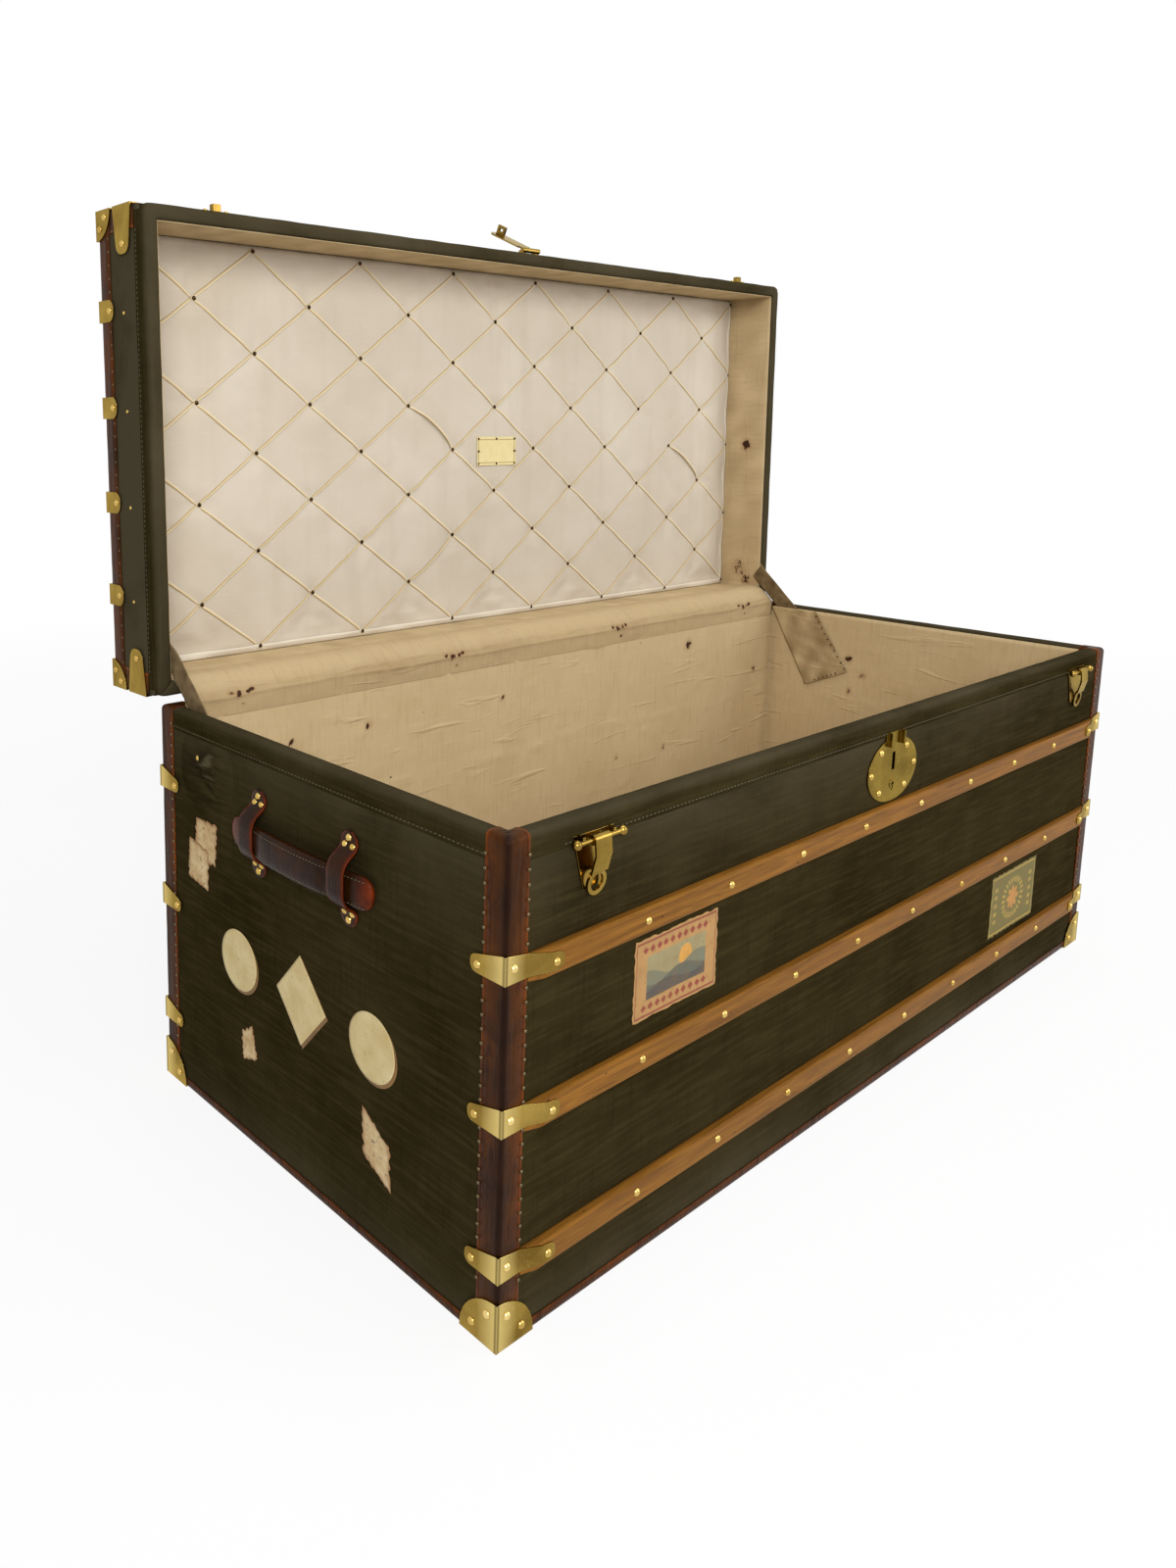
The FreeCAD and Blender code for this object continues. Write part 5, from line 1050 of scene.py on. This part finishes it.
points, outward, _ = square_ring(half_length, half_depth, lid_nail_step)
away = straight_out(outward)
single = np.abs(away).sum(1) == 1
points, away = points[single], away[single]
side_nails = np.column_stack((points + away * leather_out, np.full(len(points), lid_top - edge_inset)))
top_nails = np.column_stack((points - away * edge_inset, np.full(len(points), lid_top + leather_out)))
side_out = np.column_stack((away, np.zeros(len(points))))
top_out = np.tile((0, 0, 1.0), (len(points), 1))
corner_places, corner_out = corner_nails([466 * MM])
places = np.concatenate((side_nails, top_nails, corner_places))
out = np.concatenate((side_out, top_out, corner_out))
dress(opened(nail_heads("lid_nails", places, out, 1.25 * MM, 0.75 * MM)), iron, "lid")
end_rows = np.repeat([-142.1, -44.7, 52.7, 150.1], 2) * MM
end_sides = np.tile((-1.0, 1.0), 4)
end_level = np.full(8, lid_top - 46 * MM)
end_places = np.column_stack((end_sides * (half_length - 0.2 * MM), end_rows, end_level))
end_out = np.column_stack((end_sides, np.zeros((8, 2))))
end_nails = nail_heads("lid_end_nails", end_places, end_out, 2.2 * MM, 1.2 * MM)
dress(opened(end_nails), bright_brass, "lid")

# Lid lining. The same beige cotton pasted inside the lid's walls, from the rim to the pad,
# with a damp stain near the right stay.
board_low = 482.1 * MM
ring = square_ring(room_length, room_depth, 7 * MM)
walk, drop = grid_of(ring[2], np.linspace(board_low, lid_low + 3.6 * MM, 16))
lift = 0.1 * MM + 0.25 * wall_ripple(walk, drop, 81)
rust = spots(walk, drop, [(side_turn * 1.5 + 2 * room_length, 0.44)] * 2, [3 * MM, 5 * MM])
corner_gap = corner_distance(walk, room_length, room_depth)
stain_walks = [(2 * room_length + 1.93 * side_turn, 0.445), (2 * room_length + 1.98 * side_turn, 0.43)]
stain = spots(walk, drop, stain_walks, [11 * MM, 9 * MM])
# Darker into the corners, as dirt and painted shade, and patchy with dirt elsewhere.
grime_and_shade = 0.25 + 0.4 * np.exp(-corner_gap / (14 * MM)) + 0.2 * drift(walk, drop, 60 * MM, 83)
notes = {"rust": rust + 0.55 * stain, "grime_and_shade": np.clip(grime_and_shade, 0, 1)}
lid_walls = lay("lid_lining_cloth", (wrap(ring, -lift, drop), flat_map(walk, drop), notes), thick=0.8 * MM)
dress(opened(lid_walls), lining, "lid", ["lid_lining"])

# Lid pad. Wadding under ivory cotton, held to the lid's top board by tacks in a lattice.
# The cloth is settled by simulation between the tacks and the edges that hold it.
pad_length, pad_depth = 533 * MM, 226.5 * MM
tack_step, row_step = 76.15 * MM, 55.1 * MM
most_shift, settle_steps = 2 * MM, 20
pad_x = np.linspace(-7, 7, 169) * tack_step
pad_x[[0, -1]] = (-pad_length, pad_length)
pad_y = np.concatenate(([-pad_depth], np.linspace(-4, 4, 73) * row_step, [pad_depth]))
across, along = grid_of(pad_x, pad_y)
tack_cols, tack_rows = grid_of(np.arange(15), np.arange(9))
is_tack = (tack_cols + tack_rows) % 2 == 0
tack_at = np.stack((pad_x[tack_cols * 12], pad_y[1 + tack_rows * 9]), -1)
one_way = across / (2 * tack_step) + along / (2 * row_step)
other_way = across / (2 * tack_step) - along / (2 * row_step)
puff = np.abs(np.sin(np.pi * one_way) * np.sin(np.pi * other_way))
held = np.zeros(across.shape, bool)
held[tack_cols[is_tack] * 12, 1 + tack_rows[is_tack] * 9] = True
dimple = spots(across, along, tack_at[is_tack], 8 * MM)
border = np.minimum(pad_length - np.abs(across), pad_depth - np.abs(along))
crown = (5.6 + 1.6 * puff - 1.7 * np.clip(dimple, 0, 1)) * MM * np.clip(0.62 + border / (16 * MM), 0, 1)
held[[0, -1]] = held[:, [0, -1]] = True


def settled(height):
    """Lets the pad's cloth find its shape: tacks and edges are pinned, the wadding presses from behind,
    and the cloth is cut one part in a hundred too large, so that it puckers. Each point's shift is capped."""
    flat = np.stack((across, along, height), -1)
    trial = lay("pad_trial", (flat, flat_map(across, along), {}))
    pins = trial.vertex_groups.new(name="held")
    pins.add(np.flatnonzero(held.ravel()).tolist(), 1.0, "REPLACE")
    cloth = trial.modifiers.new("settle", "CLOTH")
    ways = cloth.settings
    ways.quality = 4
    ways.mass = 0.25
    ways.tension_stiffness = ways.compression_stiffness = 18
    ways.bending_stiffness = 0.6
    ways.vertex_group_mass = "held"
    ways.shrink_min = -0.012
    ways.use_pressure = True
    ways.uniform_pressure_force = 1.5
    ways.effector_weights.gravity = 0
    cloth.point_cache.frame_start, cloth.point_cache.frame_end = 1, settle_steps
    for step in range(1, settle_steps + 1):
        bpy.context.scene.frame_set(step)
    done = trial.evaluated_get(bpy.context.evaluated_depsgraph_get())
    found = np.empty(across.size * 3, np.float32)
    done.data.vertices.foreach_get("co", found)
    bpy.context.scene.frame_set(1)
    bpy.data.objects.remove(trial)
    moved = found.reshape(*across.shape, 3)[..., 2] - height
    return height + np.clip(moved, -most_shift, most_shift)


pad_height = settled(crown)


def pad_level(x, y):
    """Height of the pad's cloth off its board at any place: shares of the four nearest points of its grid."""
    col = np.clip(np.interp(x, pad_x, np.arange(len(pad_x))), 0, len(pad_x) - 1.001)
    row = np.clip(np.interp(y, pad_y, np.arange(len(pad_y))), 0, len(pad_y) - 1.001)
    c, r = col.astype(int), row.astype(int)
    s, t = col - c, row - r
    near = pad_height[c, r] * (1 - s) + pad_height[c + 1, r] * s
    far = pad_height[c, r + 1] * (1 - s) + pad_height[c + 1, r + 1] * s
    return near * (1 - t) + far * t


def on_pad(x, y, lift):
    """Points on the pad's face under the lid's board, lifted off it by a little."""
    return np.stack((x, y, board_low - pad_level(x, y) - lift), -1)


ivory = Finish("ivory_cotton", Specular_IOR_Level=0.25, Sheen_Weight=0.15)
cloth_at = ivory.place("UV")
cloudy = ivory.noise(cloth_at, 6, 5, 0.6, 0.3)
strips = ivory.noise(ivory.place("UV", scale=(26, 2.5, 1)), 1.0, 4, 0.6)
weft = ivory.noise(ivory.place("UV", scale=(30, 420, 1)), 1.0, 3, 0.6)
colour = ivory.two_tone(cloudy, 0.3, 0.7, (196, 183, 163), (209, 198, 181))
colour = ivory.tint(colour, strips, 0.5, 0.8, 0.35, (180, 165, 142))
colour = ivory.tint(colour, weft, 0.55, 0.85, 0.3, (218, 209, 194))
foxing = ivory.span(ivory.cells(cloth_at, 17), 0.05, 0.02)
foxing = ivory.calc("MULTIPLY", foxing, ivory.span(ivory.noise(cloth_at, 8, 2), 0.56, 0.62, 0.0, 0.7))
colour = ivory.mix(foxing, colour, tone(164, 128, 84))
grain = ivory.relief(ivory.threads(cloth_at, 1.0 * MM), 0.12 * MM, strength=0.5)
grain = ivory.relief(weft, 0.3 * MM, grain, 0.4)
ivory.wear(Base_Color=colour, Roughness=ivory.span(cloudy, 0.25, 0.75, 0.74, 0.88), Normal=grain)

frame_x = np.concatenate((pad_x[:1], pad_x, pad_x[-1:]))
frame_y = np.concatenate((pad_y[:1], pad_y, pad_y[-1:]))
shell_x, shell_y = grid_of(frame_x, frame_y)
shell = np.stack((shell_x, shell_y, board_low - np.pad(pad_height, 1)), -1)[:, ::-1]
pad = lay("lid_pad_cloth", (shell, flat_map(shell_x, shell_y)[:, ::-1], {}))


def close_back(shape):
    """Fills the open side that lies on the board."""
    bmesh.ops.holes_fill(shape, edges=[edge for edge in shape.edges if edge.is_boundary])


dress(opened(tend(pad, close_back)), ivory, "lid", ["lid_pad"])

# Pad ribbons. Narrow silk tape runs from tack to tack both ways and divides the pad into lozenges.
# A few lengths have pulled loose and bow away from the cloth, and one is gone.
silk = Finish("cream_ribbon", Specular_IOR_Level=0.45, Sheen_Weight=0.3)
silk_at = silk.place("UV", scale=(60, 1800, 1))
ribs = silk.noise(silk_at, 1.0, 3)
# Painted shade: one half of each ribbon's width is darker.
shade_side_across = silk.node("SeparateXYZ", {0: silk.place("UV")}).outputs[1]
colour = silk.two_tone(ribs, 0.3, 0.7, (206, 187, 146), (222, 207, 172))
silk.wear(
    Base_Color=silk.mix(silk.span(shade_side_across, 0.0, 1.2 * MM, 0.0, 0.85), colour, tone(168, 138, 88)),
    Roughness=silk.span(ribs, 0.3, 0.7, 0.42, 0.6),
    Normal=silk.relief(ribs, 0.15 * MM, strength=0.5),
)
links = [(c, r, c + way, r + 1) for c in range(15) for r in range(8) for way in (-1, 1)]
links = [link for link in links if (link[0] + link[1]) % 2 == 0 and 0 <= link[2] < 15]
gone = {(11, 3, 12, 4)}
loose = {(5, 3, 6, 4): -6 * MM, (12, 4, 13, 5): -5 * MM, (6, 6, 5, 7): -3 * MM}
links = [link for link in links if link not in gone]
start = np.array([tack_at[c, r] for c, r, *_ in links])
end = np.array([tack_at[c, r] for *_, c, r in links])
bow = np.array([loose.get(link, 0) for link in links])[:, None]
share = np.linspace(0, 1, 25)
middle = start[:, None] + (end - start)[:, None] * share[:, None]
course = (end - start) / np.linalg.norm(end - start, axis=1)[:, None]
across_way = np.stack((-course[:, 1], course[:, 0]), -1)[:, None]
swell = np.sin(np.pi * share)
middle = middle + across_way * (bow * swell)[..., None]
half_tape = (1.2 + 0.6 * np.minimum(swell * 3, 1)) * MM
rest = 0.35 * MM + 0.25 * MM * swell + np.abs(bow) * 0.5 * swell
ribbons = []
sides = np.array([-1, -0.5, 0.5, 1])
for line, way, lift in zip(middle, across_way[:, 0], np.broadcast_to(rest, middle.shape[:2])):
    spread = line[:, None] + way * (half_tape[:, None] * sides)[..., None]
    height = pad_level(line[:, 0], line[:, 1])[:, None] + lift[:, None] - 0.15 * MM * (np.abs(sides) > 0.9)
    points = np.concatenate((spread, (board_low - height)[..., None]), -1)
    chart = flat_map((share * 94 * MM)[:, None], sides * 3 * MM)
    ribbons.append((points[:, ::-1], chart[:, ::-1], {}))
dress(opened(lay("pad_ribbons", *ribbons, thick=0.3 * MM)), silk, "lid")

# Pad tacks. Small bronzed heads driven through the ribbons at every crossing,
# each over a pucker of the tape.
bronze = Finish("bronzed_tack", Metallic=0.9)
bronze_at = bronze.noise(bronze.place(), 500, 3)
bronze.wear(
    Base_Color=bronze.two_tone(bronze_at, 0.35, 0.65, (26, 16, 7), (80, 58, 30)),
    Roughness=bronze.span(bronze_at, 0.3, 0.7, 0.16, 0.3),
)
centres = tack_at[is_tack] * (0.994, 1)
down = np.tile((0, 0, -1.0), (len(centres), 1))
puckers = nail_heads("tack_puckers", on_pad(*centres.T, 0.3 * MM), down, 3.6 * MM, 0.55 * MM)
dress(opened(puckers), silk, "lid")
heads = nail_heads("pad_tacks", on_pad(*centres.T, 0.7 * MM), down, 2.7 * MM, 1.7 * MM)
dress(opened(heads), bronze, "lid")

# Pad edge tape. A white cotton tape covers the pad's raw edge along the right and the hinge side,
# laid flat and turned in against the lining.
tape = Finish("white_tape", Specular_IOR_Level=0.3)
tape_at = tape.place("UV")
tape_ribs = tape.noise(tape.place("UV", scale=(700, 60, 1)), 1.0, 2)
tape.wear(
    Base_Color=tape.mix(tape.noise(tape_at, 20, 4), tone(208, 198, 178), tone(226, 218, 204)),
    Roughness=tape.span(tape_ribs, 0.2, 0.8, 0.7, 0.9),
    Normal=tape.relief(tape_ribs, 0.15 * MM, strength=0.5),
)
ring = square_ring(pad_length, pad_depth, 8 * MM)
first = int(np.argmin(np.abs(ring[2] - 2 * (pad_length + pad_depth))))
ring = tuple(part[first:] for part in ring)
tape_out = np.array([-7.4, -6.9, -5, -3, -0.8, 0.25, 0.3, 0.3]) * MM
walk, run = grid_of(ring[2], np.arange(8) * 1.6 * MM)
flat = ring[0][:, None] + ring[1][:, None] * np.minimum(tape_out, -0.2 * MM)[:, None]
tape_lift = np.array([0.1, 0.5, 0.5, 0.5, 0.4, -0.6, -2.2, -3.4]) * MM
raised = board_low - pad_level(flat[..., 0], flat[..., 1]) - tape_lift
points = wrap(ring, tape_out, raised)
edge_tape = lay("pad_edge_tape", (points[:, ::-1], flat_map(walk, run)[:, ::-1], {}), thick=0.3 * MM)
dress(opened(edge_tape), tape, "lid")

# Blank card. A small cream card with a ruled border, its ends curled up a little,
# held to the middle of the pad by eight tacks.
card_at, card_size = (2 * MM, 3 * MM), (73 * MM, 38 * MM)
u, v = grid_of(np.linspace(-0.5, 0.5, 71), np.linspace(-0.5, 0.5, 41))
x, y = card_at[0] + u * card_size[0], card_at[1] - v * card_size[1]
edge = np.minimum((0.5 - np.abs(u)) * card_size[0], (0.5 - np.abs(v)) * card_size[1])
ruled = (edge > 3 * MM) & (edge < 4 * MM)
ink = np.concatenate((print_over((222, 206, 150), (ruled, (150, 122, 66))), np.ones((*u.shape, 1))), -1)


def card_curl(across):
    """Lift of the card off the pad: flat in the middle, rising with the fourth power towards both ends."""
    return 0.8 * MM * (2 * np.abs(across)) ** 4


curl = 0.9 * MM + card_curl(u)
points = np.stack((x, y, board_low - pad_level(np.full_like(x, card_at[0]), y) - curl), -1)
card = lay("blank_card", (points, flat_map(x, y), {"ink": ink}), thick=0.3 * MM)
card_stock = Finish("card_stock", Roughness=0.6)
card_age = card_stock.noise(card_stock.place(), 90, 4)
card_colour = card_stock.tint(card_stock.mark("ink", "Color"), card_age, 0.4, 0.8, 0.3, (196, 168, 104))
card_stock.wear(Base_Color=card_colour, Normal=card_stock.relief(card_age, 0.2 * MM, strength=0.3))
dress(opened(card), card_stock, "lid")
pin_u = np.array([-0.46, 0, 0.46, -0.46, 0.46, -0.46, 0, 0.46])
pin_v = np.array([-0.43, -0.43, -0.43, 0, 0, 0.43, 0.43, 0.43])
pin_x, pin_y = card_at[0] + pin_u * card_size[0], card_at[1] - pin_v * card_size[1]
pins = on_pad(pin_x, pin_y, 0.8 * MM + card_curl(pin_u))
card_tacks = nail_heads("card_tacks", pins, np.tile((0, 0, -1.0), (8, 1)), 1.8 * MM, 1.0 * MM)
dress(opened(card_tacks), bronze, "lid")

# Hinge cloth. A strip of the lining is pasted over both back rims, so that no gap shows inside.
# It is creased twice along the hinge line and folds as the lid closes.
up_wall, over_rims = [(227.2, 382), (226.9, 392), (226.9, 399), (227.4, 403.6)], [(231, 408), (237, 413.6)]
along_lid = [(243, 419), (248, 422.6), (254, 424.4), (260, 424.8), (269, 424.9)]
path = eased(np.array(up_wall + over_rims + along_lid) * MM, 2)
normal, girth = path_normal(path), run_length(*path.T)
strip_x = np.linspace(-533, 533, 267) * MM
wide, run = grid_of(strip_x, girth)
crease = np.zeros_like(wide)
for at, seed in ((20 * MM, 91), (27 * MM, 92)):
    line = at + 1.5 * MM * drift(wide, 0 * run, 90 * MM, seed)
    crease += bell(run - line, 1.4 * MM) * (0.75 + 0.35 * drift(wide, 0 * run, 35 * MM, seed + 5))
pasted = np.clip(run / (8 * MM), 0, 1) * np.clip((girth[-1] - run) / (8 * MM), 0, 1)
bump = (0.3 + crease + 0.35 * drift(wide, run, 26 * MM, 94)) * MM * pasted


def strip(lift):
    """The strip's face: its path carried along the hinge line and lifted along its own normal."""
    offset = path + normal * lift[..., None]
    return np.concatenate((wide[..., None], offset), -1)


def round_strip(face, back):
    """Carries columns over the face, back along the other side and round to the first column again."""
    return np.concatenate((face, back[:, ::-1], face[:, :1]), 1)


def thin_strip(face, back):
    """A strip closed all round: face and back joined along their edges and pinched together at both ends."""
    loop, middle = round_strip(face, back), (face + back) / 2
    loop[[0, -1]] = round_strip(middle, middle)[[0, -1]]
    return loop


def cross_joint(piece, finish, node):
    """Gives a sheet that runs from the trunk's lining to the lid's its finish, hides the CAD node it stands
    for, and bakes its place into its points.
    """
    piece.data.materials.append(finish.material)
    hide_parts(node)
    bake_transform(piece)


proud = 0.1 * MM + 0.3 * MM * np.clip(run / (14 * MM), 0, 1)
loop = thin_strip(strip(bump + proud), strip(bump + proud - 0.7 * MM))
rust_flecks = np.array([(-13, 23), (-3, 21), (8, 22), (15, 24), (3, 10)])
hinge_places = np.concatenate([rust_flecks + (x, 0) for x in (-466, -160, 153, 455)]) * MM
rust = spots(wide, run, hinge_places, np.tile([1.9, 2.8, 1.8, 2.1, 1.5], 4) * MM)
# Grimy all over, and darker in and about the two creases as painted shade.
grime_and_shade = 0.38 + 0.5 * np.clip(crease - 0.6, 0, 1) + 0.25 * bell(run - 23 * MM, 8 * MM)
notes = {"rust": round_strip(rust, rust), "grime_and_shade": round_strip(grime_and_shade, grime_and_shade)}
chart = flat_map(wide, run)
hinge_cloth = tend(lay("hinge_cloth_strip", (loop, round_strip(chart, chart), notes)), sealed)
cross_joint(hinge_cloth, lining, "hinge_cloth")

# Lid stays. A strip of canvas webbing at each back corner joins the end walls of trunk and lid.
# It is drawn straight when the lid is open, keeps it from falling back, and folds inwards as it closes.
stay_foot, stay_head = np.array([173.3, 373.1]) * MM, np.array([277.5, 468.9]) * MM
webbing = Finish("tan_webbing", Specular_IOR_Level=0.15)
web_at = webbing.place("UV")
web_worn = webbing.noise(web_at, 60, 4)
webbing.wear(
    Base_Color=webbing.two_tone(web_worn, 0.3, 0.7, (92, 74, 48), (140, 118, 84)),
    Roughness=webbing.span(web_worn, 0.2, 0.8, 0.75, 0.9),
    Normal=webbing.relief(webbing.threads(web_at, 1.4 * MM), 0.25 * MM, strength=0.8),
)
stay_way = (stay_head - stay_foot) / np.linalg.norm(stay_head - stay_foot)
stay_side = np.array([stay_way[1], -stay_way[0]])
stay_length, stay_half = float(np.linalg.norm(stay_head - stay_foot)), 12 * MM
stay_out, stay_thick = 532.6 * MM, 0.9 * MM
for side, word in ((-1, "left"), (1, "right")):
    run, over = grid_of(np.linspace(0, stay_length, 41), np.linspace(-stay_half, stay_half, 13))
    flat = stay_foot + stay_way * run[..., None] + stay_side * over[..., None]
    share = run / stay_length
    wave = (0.5 * drift(run, over, 40 * MM, 95) - 0.4) * MM * np.sin(np.pi * share)
    wave = stay_out + wave + 2.2 * MM * np.clip((share - 0.72) / 0.1, 0, 1) ** 2
    face, back = (np.concatenate((side * (wave + gap)[..., None], flat), -1) for gap in (0, stay_thick))
    chart = flat_map(run, over)
    stay = (thin_strip(face, back), round_strip(chart, chart), {})
    stay = tend(lay(f"{word}_stay_strap", stay), sealed)
    cross_joint(stay, webbing, f"{word}_lid_stay")

# Stay patches. A slanting piece of lining cloth is pasted over each stay's foot on the end wall
# and nailed along its front and lower edges.
patch_corners = np.array([(226.5, 397), (150, 397), (92, 312), (160, 280)]) * MM
back_top, front_top, front_foot, back_foot = patch_corners
for side, word in ((-1, "left"), (1, "right")):
    u, v = grid_of(np.linspace(0, 1, 41), np.linspace(0, 1, 49))
    top_edge, foot_edge = ((1 - u[..., None]) * a + u[..., None] * b
                           for a, b in ((back_top, front_top), (back_foot, front_foot)))
    flat = (1 - v[..., None]) * top_edge + v[..., None] * foot_edge
    ragged = 1.2 * MM * drift(flat[..., 0], flat[..., 1], 26 * MM, 97)
    lift = (2.3 + 0.5 * drift(flat[..., 0], flat[..., 1], 24 * MM, 98)) * MM
    flat = flat + ragged[..., None] * (np.abs(u - 0.5) > 0.47)[..., None]
    points = np.concatenate(((side * (room_length - lift))[..., None], flat), -1)
    edge = np.minimum(1 - u, 1 - v)
    dirt = 0.55 + 0.25 * drift(flat[..., 0], flat[..., 1], 40 * MM, 99) + 0.35 * np.exp(-edge / 0.08)
    notes = {"rust": 0 * u, "grime_and_shade": np.clip(dirt, 0, 1)}
    order = np.s_[::-1] if side > 0 else np.s_[:]
    notes = {key: values[order] for key, values in notes.items()}
    patch = lay(f"{word}_stay_patch", (points[order], flat[order], notes), thick=0.6 * MM)
    dress(patch, lining, "trunk")
    share = np.linspace(0.03, 0.97, 10)[:, None]
    front_edge = front_top + (front_foot - front_top) * share
    lower_edge = back_foot + (front_foot - back_foot) * share[2:8]
    sides = np.concatenate((front_edge, lower_edge))
    inward = patch_corners.mean(0) - sides
    inward /= np.linalg.norm(inward, axis=1)[:, None]
    nail_out = np.full(len(sides), side * (room_length - 2.6 * MM))
    nail_spots = np.column_stack((nail_out, sides + inward * 4 * MM))
    facing = np.tile((-float(side), 0, 0), (len(sides), 1))
    dress(nail_heads(f"{word}_patch_nails", nail_spots, facing, 1.5 * MM, 0.9 * MM), iron, "trunk")

# Stage. A plain white floor and background, white to the camera and in reflections;
# the floor keeps the trunk's soft shadow. Three soft lamps light it.
ground = Finish("white_floor", Roughness=0.9)
ground.shader.inputs["Base Color"].default_value = (0.9, 0.9, 0.9, 1)
rays = ground.node("LightPath", {}).outputs
seen = rays["Is Camera Ray"]
for ray in ("Is Transmission Ray", "Is Glossy Ray"):
    seen = ground.calc("MAXIMUM", seen, rays[ray])
white = ground.node("Emission", {"Color": (1, 1, 1, 1), "Strength": 1.0}).outputs[0]
far = ground.node("VectorMath", {0: ground.place()}, operation="LENGTH").outputs["Value"]
share = ground.calc("MULTIPLY", seen, ground.span(far, 1.2, 3.0, 0.87, 1.0))
joined = ground.node("MixShader", {0: share, 1: ground.shader.outputs[0], 2: white}).outputs[0]
ground.tree.links.new(joined, ground.tree.nodes["Material Output"].inputs["Surface"])
reach = 40.0
floor_corners = np.array([(-1, -1, 0), (1, -1, 0), (1, 1, 0), (-1, 1, 0)]) * reach
floor = fill("floor", floor_corners, [np.array([[0, 1, 2, 3]])])
floor.data.materials.append(ground.material)

world = bpy.data.worlds.new("studio")
world.use_nodes = True
bpy.context.scene.world = world
sky = world.node_tree
backdrop = sky.nodes["Background"]
path_kind = sky.nodes.new("ShaderNodeLightPath").outputs
strength = sky.nodes.new("ShaderNodeMapRange")
shown = path_kind["Is Camera Ray"]
for ray in ("Is Transmission Ray", "Is Glossy Ray"):
    brightest = sky.nodes.new("ShaderNodeMath")
    brightest.operation = "MAXIMUM"
    sky.links.new(shown, brightest.inputs[0])
    sky.links.new(path_kind[ray], brightest.inputs[1])
    shown = brightest.outputs[0]
sky.links.new(shown, strength.inputs["Value"])
strength.inputs["To Min"].default_value = 0.3
strength.inputs["To Max"].default_value = 1.0
sky.links.new(strength.outputs[0], backdrop.inputs["Strength"])
backdrop.inputs["Color"].default_value = (1, 1, 1, 1)


def lamp(name, place, target, size, power):
    """A square soft lamp that faces a point."""
    light = bpy.data.lights.new(name, "AREA")
    light.size = size
    light.energy = power
    holder = bpy.data.objects.new(name, light)
    bpy.context.scene.collection.objects.link(holder)
    holder.location = place
    holder.rotation_euler = (Vector(target) - Vector(place)).to_track_quat("-Z", "Y").to_euler()


lamp("key_lamp", (-2.3, -2.6, 2.1), (0, 0, 0.45), 1.6, 98)
lamp("fill_lamp", (2.2, -2.8, 1.7), (0.2, 0, 0.4), 2.0, 46)
lamp("top_lamp", (0.1, -0.5, 3.2), (0, 0, 0.3), 1.8, 33)

# Camera. Low at the front left, close and wide, as in the photograph.
# A small lens shift frames the trunk, and depth of field stays off.
view_turn, view_drop, view_roll = -0.6961, 0.1561, 0.0072
camera_place = Vector((-1.1125, -0.7808, 0.6933))
focal_pixels, frame_width, frame_height = 1185.89, 1200, 1600
axis_x, axis_y = 392.96, 609.55
level_reach = math.cos(view_drop)
ahead = (-math.sin(view_turn) * level_reach, math.cos(view_turn) * level_reach, -math.sin(view_drop))
ahead = Vector(ahead)
level_right = ahead.cross(Vector((0, 0, 1))).normalized()
level_up = level_right.cross(ahead)
right = level_right * math.cos(view_roll) + level_up * math.sin(view_roll)
up = level_up * math.cos(view_roll) - level_right * math.sin(view_roll)
lens = bpy.data.cameras.new("camera")
lens.sensor_width = 36
lens.lens = lens.sensor_width * focal_pixels / frame_height
lens.shift_x = (frame_width / 2 - axis_x) / frame_height
lens.shift_y = (axis_y - frame_height / 2) / frame_height
lens.clip_start, lens.clip_end = 0.05, 100
camera = bpy.data.objects.new("camera", lens)
bpy.context.scene.collection.objects.link(camera)
camera.matrix_world = Matrix.Translation(camera_place) @ Matrix((right, up, -ahead)).transposed().to_4x4()
bpy.context.scene.camera = camera
bpy.context.scene.view_settings.view_transform = "Standard"
